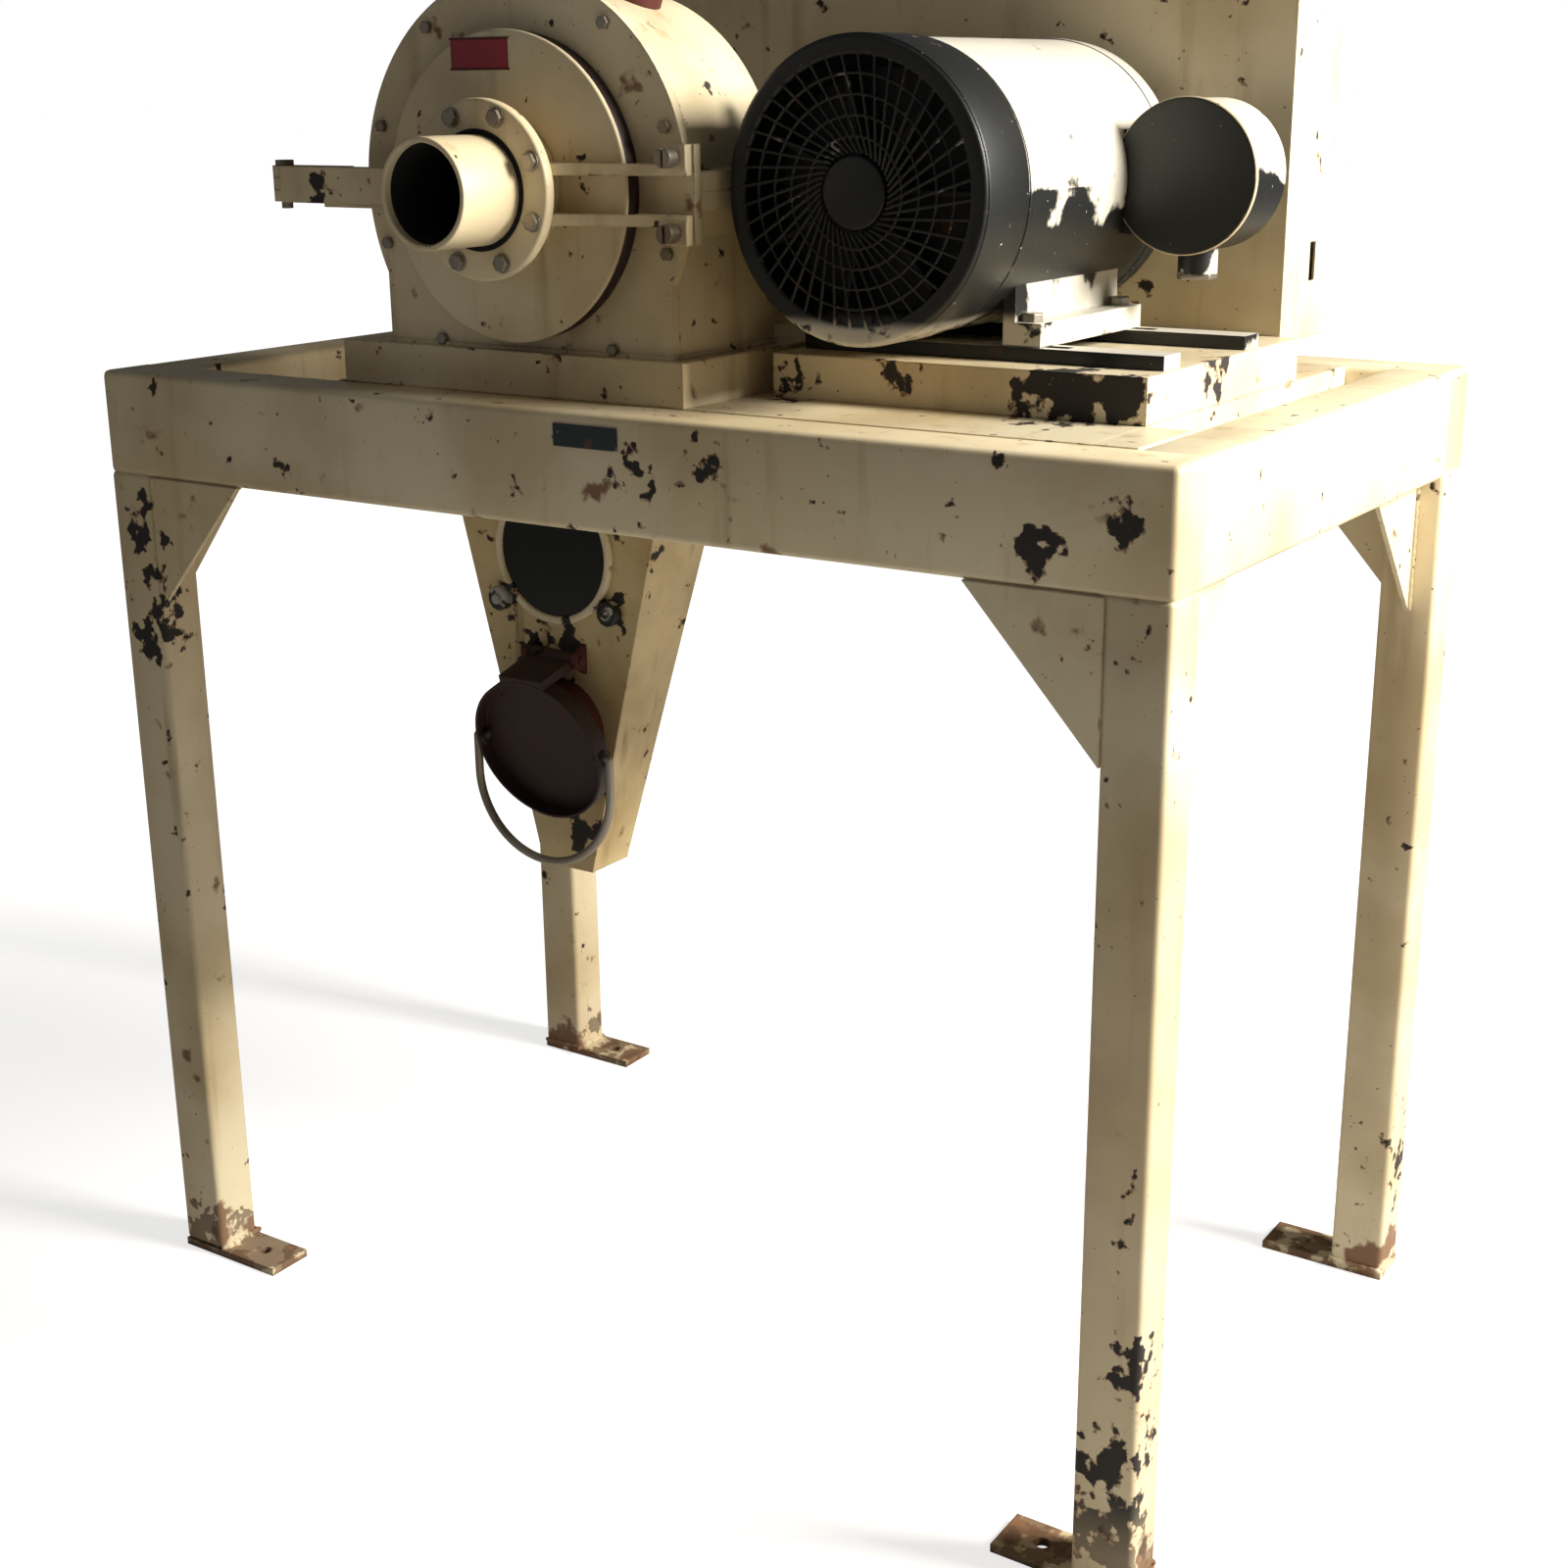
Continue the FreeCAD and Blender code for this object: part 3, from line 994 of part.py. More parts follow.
def make_flap():
    """A shallow pan that closes the collar, with its bail hung on the rim."""
    radius, sheet_t, rim = size("flap_radius"), size("flap_sheet"), size("flap_rim")
    pan = rod(radius, (0, -0.3, 0), (0, -0.3 - rim, 0))
    pan = pan.cut(rod(radius - sheet_t, (0, -0.3 - sheet_t, 0), (0, -1 - rim, 0)))
    hinge_y, hinge_z = flap_hinge_point()
    inner_half = size("flap_lug_spread") - size("flap_lug") / 2 - 0.5
    knuckle = rod(size("flap_knuckle_radius"), (-inner_half, hinge_y, hinge_z),
                  (inner_half, hinge_y, hinge_z))
    strap = box(-inner_half, -rim, radius - 6, inner_half, hinge_y, hinge_z + 4)
    strap = strap.cut(rod(radius - sheet_t, (0, -rim - 1, 0), (0, hinge_y + 20, 0)))
    pan = pan.fuse([knuckle, strap])
    pivot_y = -0.3 - rim / 2
    for side in (-1, 1):
        pan = pan.fuse(rod(9, (side * (radius - 8), pivot_y, 0), (side * (radius + 2), pivot_y, 0)))
    pan = pan.cut(rod(size("flap_pin_radius") + size("running_clearance"),
                      (-inner_half - 1, hinge_y, hinge_z), (inner_half + 1, hinge_y, hinge_z)))
    pan = pan.cut(rod(size("bail_rod") + size("running_clearance"), (-radius - 5, pivot_y, 0),
                      (radius + 5, pivot_y, 0)))
    solid_group("flap", [tilted(pan.removeSplitter())])

    pivot = tilted(Part.Vertex(Vector(0, pivot_y, 0))).Point
    bend, leg, r = size("bail_radius"), size("bail_leg"), size("bail_rod")
    arch = Part.makeTorus(bend, r, Vector(0, 0, -leg), Vector(0, 1, 0))
    arch = arch.common(box(-bend - r - 1, -r - 1, -leg - bend - r - 1, bend + r + 1, r + 1, -leg))
    wire = arch
    for side in (-1, 1):
        wire = wire.fuse(rod(r, (side * bend, 0, -leg), (side * bend, 0, 0)))
        wire = wire.fuse(Part.makeSphere(r, Vector(side * bend, 0, 0)))
        wire = wire.fuse(rod(r, (side * (radius - 7), 0, 0), (side * bend, 0, 0)))
    wire = wire.removeSplitter()
    wire.translate(pivot)
    solid_group("flap_bail", [wire])


def check_and_export():
    """Stops on a failed object or a bad shape, then writes one STEP file per node."""
    doc.recompute()
    failed = [o.Name for o in doc.Objects if {"Invalid", "Error"} & set(o.State)]
    if failed:
        raise RuntimeError(f"failed objects: {failed}")
    nodes = [o for o in doc.Objects
             if o.TypeId in ("PartDesign::Body", "Part::Feature") and o.getParentGroup() is None]
    for node in nodes:
        shape = node.Shape
        if shape.isNull() or not shape.isValid() or not shape.Solids:
            raise RuntimeError(f"{node.Label} has no valid solid")
    os.makedirs("parts", exist_ok=True)
    grouped = {}
    for node in nodes:
        grouped.setdefault(SHARED_NODES.get(node.Label, node.Label), []).append(node.Shape)
    for name, shapes in grouped.items():
        shape = shapes[0] if len(shapes) == 1 else Part.makeCompound(shapes)
        shape.exportStep(f"parts/{name}.step")
    print(f"{len(grouped)} nodes written")


make_rails()
make_legs()
make_gussets()
make_foot_plates()
make_cross_members()
make_deck_plates()
make_rail_plate()
make_sub_bases()
make_end_plates()
make_shells()
make_casing_bolts()
make_casing_plug()
make_door()
make_flange_bolts()
make_door_bars()
make_clamp_screws()
make_door_hinge()
make_door_label()
make_rotor()
make_pulleys()
make_belts()
make_bearings()
make_guard()
make_motor_frame()
make_motor_shaft()
make_fan_and_cowl()
make_terminal_box()
make_slide_rails()
make_chute()
make_spout()
make_flap()
check_and_export()
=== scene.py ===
"""Looks of a belt-driven centrifugal separator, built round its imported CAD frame.

Everything is in metres in the row frame: X to the right, Y to the back, Z up.
"""

import json
import logging
import math
from dataclasses import dataclass, field
from enum import Enum
from typing import Callable, Sequence

import bpy
from mathutils import Matrix, Vector

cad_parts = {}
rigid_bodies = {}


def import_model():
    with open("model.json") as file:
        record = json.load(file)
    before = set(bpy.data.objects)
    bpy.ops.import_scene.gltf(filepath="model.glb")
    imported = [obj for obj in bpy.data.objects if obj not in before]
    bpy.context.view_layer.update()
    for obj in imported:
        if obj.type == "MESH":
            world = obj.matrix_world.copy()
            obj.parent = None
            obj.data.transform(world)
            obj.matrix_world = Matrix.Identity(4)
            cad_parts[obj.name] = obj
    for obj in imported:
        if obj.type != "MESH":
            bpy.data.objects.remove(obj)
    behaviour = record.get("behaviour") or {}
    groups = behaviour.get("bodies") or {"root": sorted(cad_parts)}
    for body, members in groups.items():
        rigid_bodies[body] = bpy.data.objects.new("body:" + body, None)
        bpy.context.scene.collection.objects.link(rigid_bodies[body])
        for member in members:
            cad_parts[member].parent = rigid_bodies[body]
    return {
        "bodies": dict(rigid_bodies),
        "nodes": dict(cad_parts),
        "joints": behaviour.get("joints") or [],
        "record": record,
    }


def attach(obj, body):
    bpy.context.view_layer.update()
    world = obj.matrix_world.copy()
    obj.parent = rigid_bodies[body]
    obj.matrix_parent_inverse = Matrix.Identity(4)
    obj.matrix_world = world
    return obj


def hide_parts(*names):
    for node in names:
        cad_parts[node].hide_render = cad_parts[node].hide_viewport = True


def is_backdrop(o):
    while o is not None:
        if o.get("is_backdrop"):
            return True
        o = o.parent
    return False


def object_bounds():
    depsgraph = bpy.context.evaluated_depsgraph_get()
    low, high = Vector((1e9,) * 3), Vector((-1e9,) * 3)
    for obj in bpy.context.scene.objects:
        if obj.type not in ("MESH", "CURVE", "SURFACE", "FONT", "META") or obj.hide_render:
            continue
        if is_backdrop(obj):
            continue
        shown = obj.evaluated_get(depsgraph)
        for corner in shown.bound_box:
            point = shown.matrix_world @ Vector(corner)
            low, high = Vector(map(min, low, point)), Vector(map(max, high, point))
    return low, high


LOG = logging.getLogger("separator")
Triple = tuple[float, float, float]

Pair = tuple[float, float]

# Where the two shafts cross the plane of X and Z.
ROTOR_AXIS = (-0.106, 1.422)
MOTOR_AXIS = (0.293, 1.422)

# How a colour changes where it has faded and where dirt lies on it.
FADED = (0.86, 0.80, 0.70)
DIRTIED = (0.50, 0.40, 0.26)
# Cream mixed onto the motor: overspray, and painted sunlight where its sides face the key light.
OVERSPRAY_AND_SUNLIGHT = (0.66, 0.62, 0.52, 1)

# The noise values between which each kind of wear sets in.
CHIPPED = (0.655, 0.664)
RUSTED = (0.632, 0.658)
SPECKLED = (0.715, 0.735)
BLOTCHED = (0.66, 0.74)
GRIMY = (0.42, 0.72)
DRIPPING = (0.56, 0.74)
RUSTY_HEIGHT = 0.13

# Where cream is painted on the motor: behind the cowl on the sides that face up and to the right, as
# overspray together with painted sunlight from the key light on the right; and as overspray on the feet
# between two heights.
SPRAY_AND_SUN_BEHIND = (-0.215, -0.205)
FOOT_TOP = (1.300, 1.285)
FOOT_UNDERSIDE = (1.262, 1.266)

# The camera's place, its turns in degrees (swing, dip and roll), and its lens in millimetres.
CAMERA_PLACE = (1.4972, -2.2596, 1.5288)
CAMERA_TURNS = (33.43, 17.54, -0.51)
CAMERA_LENS = 51.0
AIM = (0.0, 0.0, 0.95)

# The surround's strength as light and as seen, and the floor's colour and how its glow grows.
SURROUND = (0.08, 1.0)
FLOOR_COLOUR = (0.56, 0.54, 0.51, 1)
FLOOR_REACH = (1.2, 3.4)
FLOOR_GLOW = (0.74, 1.0)


class Along(Enum):
    """The axis that a round piece lies along, as the turn that puts it there."""

    Y = (math.pi / 2, 0.0, 0.0)
    Z = (0.0, 0.0, 0.0)


# --------------------------------------------------------------- modelling
def deselect() -> None:
    """Clears the selection, so that an operator acts on new work only."""
    bpy.ops.object.select_all(action="DESELECT")


def use(obj: bpy.types.Object) -> None:
    """Makes one object the selected and active one.

    Args:
        obj: The object that the next operators act on.
    """
    deselect()
    obj.select_set(True)
    bpy.context.view_layer.objects.active = obj


def settle(obj: bpy.types.Object) -> bpy.types.Object:
    """Applies an object's place, turn and scale to its mesh.

    Args:
        obj: The object.

    Returns:
        The same object, at the origin.
    """
    use(obj)
    bpy.ops.object.transform_apply(location=True, rotation=True, scale=True)
    return obj


def soften(obj: bpy.types.Object, width: float, segments: int = 3, limit: float = 35.0) -> None:
    """Rounds an object's sharp edges.

    Args:
        obj: The object, already settled.
        width: The width of the rounding in metres.
        segments: How many faces make up the rounding.
        limit: The smallest edge angle that is rounded, in degrees.
    """
    bevel = obj.modifiers.new("soft", "BEVEL")
    bevel.width, bevel.segments = width, segments
    bevel.limit_method, bevel.angle_limit = "ANGLE", math.radians(limit)
    bevel.use_clamp_overlap = True
    use(obj)
    bpy.ops.object.modifier_apply(modifier=bevel.name)
    bpy.ops.object.shade_smooth_by_angle(angle=math.radians(40))


def block(low: Triple, high: Triple, soft: float = 0.002) -> bpy.types.Object:
    """Makes a box with rounded edges.

    Args:
        low: Its low corner.
        high: Its high corner.
        soft: The width of the rounding.

    Returns:
        The new object.
    """
    deselect()
    bpy.ops.mesh.primitive_cube_add(size=1, location=[(a + b) / 2 for a, b in zip(low, high)])
    obj = bpy.context.object
    obj.scale = [b - a for a, b in zip(low, high)]
    settle(obj)
    soften(obj, soft)
    return obj


def disc(centre: Triple, along: Along, radius: float, length: float, soft: float = 0.0015,
         sides: int = 96) -> bpy.types.Object:
    """Makes a solid round or many-sided piece.

    Args:
        centre: Its middle.
        along: The axis that it lies along.
        radius: Its radius.
        length: Its length along the axis.
        soft: The width of the rounding.
        sides: How many sides it has.

    Returns:
        The new object.
    """
    deselect()
    bpy.ops.mesh.primitive_cylinder_add(vertices=sides, radius=radius, depth=length,
                                        location=centre, rotation=along.value)
    obj = settle(bpy.context.object)
    soften(obj, soft)
    return obj


def ring(centre: Triple, along: Along, outer: float, inner: float, length: float,
         soft: float = 0.0015, sides: int = 96) -> bpy.types.Object:
    """Makes a round piece with a hole right through it.

    Args:
        centre: Its middle.
        along: The axis that it lies along.
        outer: Its outer radius.
        inner: Its hole's radius.
        length: Its length along the axis.
        soft: The width of the rounding.
        sides: How many sides it has.

    Returns:
        The new object.
    """
    deselect()
    bpy.ops.mesh.primitive_cylinder_add(vertices=sides, radius=outer, depth=length,
                                        end_fill_type="NOTHING", location=centre, rotation=along.value)
    obj = settle(bpy.context.object)
    wall = obj.modifiers.new("wall", "SOLIDIFY")
    wall.thickness, wall.offset, wall.use_even_offset = outer - inner, -1, True
    bpy.ops.object.modifier_apply(modifier=wall.name)
    soften(obj, soft)
    return obj


def sleeve(axis: Pair, span: Pair, outer: float, inner: float, soft: float = 0.0015
           ) -> bpy.types.Object:
    """Makes a ring round a line along Y, from one Y to another.

    Args:
        axis: The line's X and Z.
        span: Its first and last Y.
        outer: Its outer radius.
        inner: Its hole's radius.
        soft: The width of the rounding.

    Returns:
        The new object.
    """
    (x, z), (start, end) = axis, span
    return ring((x, (start + end) / 2, z), Along.Y, outer, inner, end - start, soft)


def around(axis: Pair, radius: float, degrees: float) -> Pair:
    """Finds a point on a circle round a line along Y.

    Args:
        axis: The line's X and Z.
        radius: The circle's radius.
        degrees: The point's angle.

    Returns:
        The point's X and Z.
    """
    angle = math.radians(degrees)
    return axis[0] + radius * math.cos(angle), axis[1] + radius * math.sin(angle)


def hoop(centre: Triple, along: Along, radius: float, thick: float) -> bpy.types.Object:
    """Makes a wire ring.

    Args:
        centre: Its middle.
        along: The axis through it.
        radius: The radius of its centre line.
        thick: The wire's radius.

    Returns:
        The new object.
    """
    deselect()
    bpy.ops.mesh.primitive_torus_add(major_radius=radius, minor_radius=thick, major_segments=96,
                                     minor_segments=10, location=centre, rotation=along.value)
    obj = settle(bpy.context.object)
    bpy.ops.object.shade_smooth()
    return obj


def bead(start: Triple, end: Triple, radius: float = 0.0035) -> bpy.types.Object:
    """Makes a lumpy weld bead between two points.

    Args:
        start: One end.
        end: The other end.
        radius: The bead's radius.

    Returns:
        The new object.
    """
    a, b = Vector(start), Vector(end)
    run = b - a
    lumps = []
    count = max(4, int(run.length / (radius * 1.5)))
    for i in range(count + 1):
        deselect()
        swell = radius * (1.0 + 0.18 * math.sin(i * 2.4))
        bpy.ops.mesh.primitive_ico_sphere_add(subdivisions=2, radius=swell, location=a + run * i / count)
        lump = bpy.context.object
        lump.scale = [1.0 + 0.7 * abs(c) for c in run.normalized()]
        lumps.append(settle(lump))
    return merge(lumps)


def spoke(length_from: float, length_to: float, width: float, depth: float, centre: Triple,
          angle: float, lean: float) -> bpy.types.Object:
    """Makes a thin rib that leans away from the radius, in a plane across Y.

    Args:
        length_from: Where it starts along the radius.
        length_to: Where it ends along the radius.
        width: Its width across the radius.
        depth: Its depth along Y.
        centre: The middle of the circle.
        angle: The radius's angle.
        lean: The rib's turn from the radius.

    Returns:
        The new object.
    """
    middle = (length_from + length_to) / 2
    place = (centre[0] + middle * math.cos(angle), centre[1], centre[2] + middle * math.sin(angle))
    deselect()
    bpy.ops.mesh.primitive_cube_add(size=1, location=place, rotation=(0, -(angle + lean), 0))
    obj = bpy.context.object
    obj.scale = (length_to - length_from, depth, width)
    settle(obj)
    soften(obj, width / 5, 1)
    return obj


def merge(parts: Sequence[bpy.types.Object]) -> bpy.types.Object:
    """Joins objects into one.

    Args:
        parts: The objects.

    Returns:
        The object that holds them all.
    """
    use(parts[0])
    for part in parts[1:]:
        part.select_set(True)
    bpy.ops.object.join()
    return bpy.context.object


# --------------------------------------------------------------- materials
class Graph:
    """A node tree with short ways of adding and wiring nodes."""

    def __init__(self, tree: bpy.types.NodeTree) -> None:
        self.tree = tree

    def add(self, kind: str, **settings: object) -> bpy.types.Node:
        """Adds a node.

        Args:
            kind: The node's type name.
            **settings: Properties of the node.

        Returns:
            The node.
        """
        node = self.tree.nodes.new(kind)
        for key, value in settings.items():
            setattr(node, key, value)
        return node

    def feed(self, socket: bpy.types.NodeSocket, source: object) -> None:
        """Wires a socket, or sets its value.

        Args:
            socket: The input socket.
            source: An output socket, or a plain value.
        """
        if isinstance(source, bpy.types.NodeSocket):
            self.tree.links.new(source, socket)
        else:
            socket.default_value = source

    def math(self, operation: str, a: object, b: object = 0.0, clamp: bool = False) -> bpy.types.NodeSocket:
        """Adds a maths node and returns its output.

        Args:
            operation: The maths operation.
            a: The first input.
            b: The second input.
            clamp: Whether the answer is held between 0 and 1.

        Returns:
            The output socket.
        """
        node = self.add("ShaderNodeMath", operation=operation, use_clamp=clamp)
        self.feed(node.inputs[0], a)
        self.feed(node.inputs[1], b)
        return node.outputs[0]

    def ramp(self, value: object, low: float, high: float, start: float = 0.0,
             end: float = 1.0) -> bpy.types.NodeSocket:
        """Maps a range of values smoothly onto another.

        Args:
            value: The input.
            low: The input that gives start.
            high: The input that gives end.
            start: The first output.
            end: The last output.

        Returns:
            The output socket.
        """
        node = self.add("ShaderNodeMapRange", interpolation_type="SMOOTHSTEP")
        for socket, source in zip(node.inputs, (value, low, high, start, end)):
            self.feed(socket, source)
        return node.outputs[0]

    def noise(self, place: object, scale: float, detail: float = 4.0,
              stretch: Triple = (1.0, 1.0, 1.0)) -> bpy.types.NodeSocket:
        """Adds noise, stretched along the axes if asked.

        Args:
            place: The vector that it is read at.
            scale: Its scale.
            detail: Its detail.
            stretch: Factors on the vector.

        Returns:
            The noise's value socket.
        """
        scaled = self.add("ShaderNodeVectorMath", operation="MULTIPLY")
        self.feed(scaled.inputs[0], place)
        scaled.inputs[1].default_value = stretch
        node = self.add("ShaderNodeTexNoise")
        self.feed(node.inputs["Vector"], scaled.outputs[0])
        node.inputs["Scale"].default_value = scale
        node.inputs["Detail"].default_value = detail
        return node.outputs[0]

    def mix(self, share: object, a: object, b: object) -> bpy.types.NodeSocket:
        """Mixes two colours.

        Args:
            share: How much of b there is.
            a: The first colour.
            b: The second colour.

        Returns:
            The mixed colour.
        """
        node = self.add("ShaderNodeMix", data_type="RGBA")
        self.feed(node.inputs[0], share)
        self.feed(node.inputs[6], a)
        self.feed(node.inputs[7], b)
        return node.outputs[2]


def new_group(name: str, takes: Sequence[tuple[str, str]], gives: Sequence[tuple[str, str]]
              ) -> tuple[Graph, bpy.types.Node, bpy.types.Node]:
    """Starts a node group.

    Args:
        name: The group's name.
        takes: Names and types of its inputs.
        gives: Names and types of its outputs.

    Returns:
        Its graph, its input node and its output node.
    """
    tree = bpy.data.node_groups.new(name, "ShaderNodeTree")
    for way, sockets in (("INPUT", takes), ("OUTPUT", gives)):
        for label, kind in sockets:
            tree.interface.new_socket(label, in_out=way, socket_type=f"NodeSocket{kind}")
    graph = Graph(tree)
    return graph, graph.add("NodeGroupInput"), graph.add("NodeGroupOutput")


@dataclass(frozen=True)
class Spot:
    """A place where the paint has suffered: its middle, its reach and how badly."""

    at: Triple
    reach: float
    harm: float = 1.0


SPOTS = (
    Spot((-0.346, -0.425, 1.175), 0.035), Spot((-0.171, -0.425, 1.189), 0.03),
    Spot((0.106, -0.425, 1.125), 0.045), Spot((0.182, -0.425, 1.152), 0.05),
    Spot((0.525, -0.425, 1.190), 0.025), Spot((0.573, -0.425, 1.107), 0.05),
    Spot((0.662, -0.425, 1.135), 0.055), Spot((-0.652, -0.425, 0.934), 0.09, 0.9),
    Spot((-0.626, -0.425, 0.824), 0.03), Spot((-0.684, -0.425, 0.02), 0.11, 1.0),
    Spot((0.685, -0.425, 0.150), 0.11, 1.1), Spot((0.682, -0.425, 0.05), 0.12, 1.2),
    Spot((0.711, 0.412, 0.161), 0.08), Spot((0.494, -0.222, 1.221), 0.085, 1.5),
    Spot((0.555, -0.222, 1.224), 0.05, 1.4), Spot((0.182, -0.222, 1.221), 0.06, 1.2),
    Spot((0.585, -0.051, 1.225), 0.07, 1.1), Spot((0.055, -0.303, 1.021), 0.055, 1.2),
    Spot((-0.130, -0.303, 0.895), 0.05, 1.1), Spot((-0.02, -0.303, 0.96), 0.04),
    Spot((-0.074, -0.303, 0.680), 0.05), Spot((0.593, -0.393, 0.01), 0.10, 1.3),
    Spot((-0.593, -0.393, 0.01), 0.12, 1.6), Spot((-0.593, 0.393, 0.01), 0.12, 1.2),
    Spot((0.593, 0.393, 0.01), 0.08, 0.9), Spot((-0.376, -0.376, 1.422), 0.04, 1.1),
    Spot((-0.186, -0.319, 0.954), 0.05, 1.0), Spot((-0.106, -0.303, 0.915), 0.06, 1.2),
    Spot((-0.655, -0.425, 0.880), 0.08, 1.0), Spot((-0.655, -0.425, 1.010), 0.07, 1.0),
    Spot((0.100, -0.425, 1.165), 0.03, 1.1), Spot((0.190, -0.425, 1.185), 0.03, 1.1),
    Spot((0.711, -0.419, 0.278), 0.06, 1.1), Spot((0.300, -0.222, 1.235), 0.05, 1.2),
)


def build_spots_group() -> bpy.types.NodeTree:
    """Builds the group that says how near a point is to a suffering spot.

    Returns:
        The node group, with one value as its output.
    """
    graph, takes, gives = new_group("SufferingSpots", [("Vector", "Vector")], [("Harm", "Float")])
    total: object = 0.0
    for spot in SPOTS:
        away = graph.add("ShaderNodeVectorMath", operation="DISTANCE")
        graph.feed(away.inputs[0], takes.outputs[0])
        away.inputs[1].default_value = spot.at
        harm = graph.ramp(away.outputs["Value"], spot.reach, 0.0, 0.0, spot.harm)
        total = graph.math("MAXIMUM", total, harm)
    graph.feed(gives.inputs[0], total)
    return graph.tree


def build_edges_group() -> bpy.types.NodeTree:
    """Builds the group that rounds edges for shading and finds them for wear.

    Returns:
        The node group, with an edge mask and a rounded normal as its outputs.
    """
    graph, takes, gives = new_group("SoftEdges", [("Radius", "Float")],
                                    [("Edge", "Float"), ("Normal", "Vector")])
    bevel = graph.add("ShaderNodeBevel", samples=4)
    graph.feed(bevel.inputs["Radius"], takes.outputs[0])
    plain = graph.add("ShaderNodeNewGeometry")
    match = graph.add("ShaderNodeVectorMath", operation="DOT_PRODUCT")
    graph.feed(match.inputs[0], bevel.outputs[0])
    graph.feed(match.inputs[1], plain.outputs["Normal"])
    graph.feed(gives.inputs[0], graph.ramp(match.outputs["Value"], 0.995, 0.85))
    graph.feed(gives.inputs[1], bevel.outputs[0])
    return graph.tree


def build_wear_group(spots: bpy.types.NodeTree, edges: bpy.types.NodeTree) -> bpy.types.NodeTree:
    """Builds the group of wear masks that all painted finishes share.

    Args:
        spots: The group of suffering spots.
        edges: The group that finds edges.

    Returns:
        The node group: chips, the rust round them, grime, drips, and a rounded normal.
    """
    graph, takes, gives = new_group(
        "PaintWear", [("Vector", "Vector"), ("Chipping", "Float"), ("Radius", "Float")],
        [("Chips", "Float"), ("Rust", "Float"), ("Grime", "Float"), ("Drips", "Float"),
         ("Normal", "Vector")])
    place = takes.outputs["Vector"]
    near = graph.add("ShaderNodeGroup")
    near.node_tree = spots
    graph.feed(near.inputs[0], place)
    edge = graph.add("ShaderNodeGroup")
    edge.node_tree = edges
    graph.feed(edge.inputs[0], takes.outputs["Radius"])
    grain = graph.math("ADD", graph.math("MULTIPLY", graph.noise(place, 24.0, 9.0), 0.5),
                       graph.math("MULTIPLY", graph.noise(place, 62.0, 9.0), 0.5))
    ragged = graph.math("ADD", grain, graph.math("MULTIPLY", near.outputs[0], 0.17))
    worn = graph.math("ADD", ragged, graph.math("MULTIPLY", edge.outputs[0], 0.055))
    worn = graph.math("ADD", worn, takes.outputs["Chipping"])
    fine = graph.ramp(graph.noise(place, 140.0, 4.0), *SPECKLED)
    chips = graph.math("MAXIMUM", graph.ramp(worn, *CHIPPED), graph.math("MULTIPLY", fine, 0.75))
    low = graph.add("ShaderNodeSeparateXYZ")
    graph.feed(low.inputs[0], place)
    foot = graph.ramp(low.outputs["Z"], RUSTY_HEIGHT, 0.0)
    blotch = graph.math("ADD", graph.noise(place, 22.0, 9.0), graph.math("MULTIPLY", foot, 0.24))
    chips = graph.math("MULTIPLY", chips, graph.math("SUBTRACT", 1.0, graph.math("MULTIPLY", foot, 0.7)))
    rust = graph.math("MAXIMUM", graph.math("SUBTRACT", graph.ramp(worn, *RUSTED), chips, True),
                      graph.ramp(blotch, *BLOTCHED))
    graph.feed(gives.inputs["Chips"], chips)
    graph.feed(gives.inputs["Rust"], rust)
    graph.feed(gives.inputs["Grime"], graph.ramp(graph.noise(place, 5.0, 8.0), *GRIMY))
    streaks = graph.noise(place, 30.0, 5.0, (1.0, 1.0, 0.09))
    graph.feed(gives.inputs["Drips"], graph.ramp(streaks, *DRIPPING))
    graph.feed(gives.inputs["Normal"], edge.outputs[1])
    return graph.tree


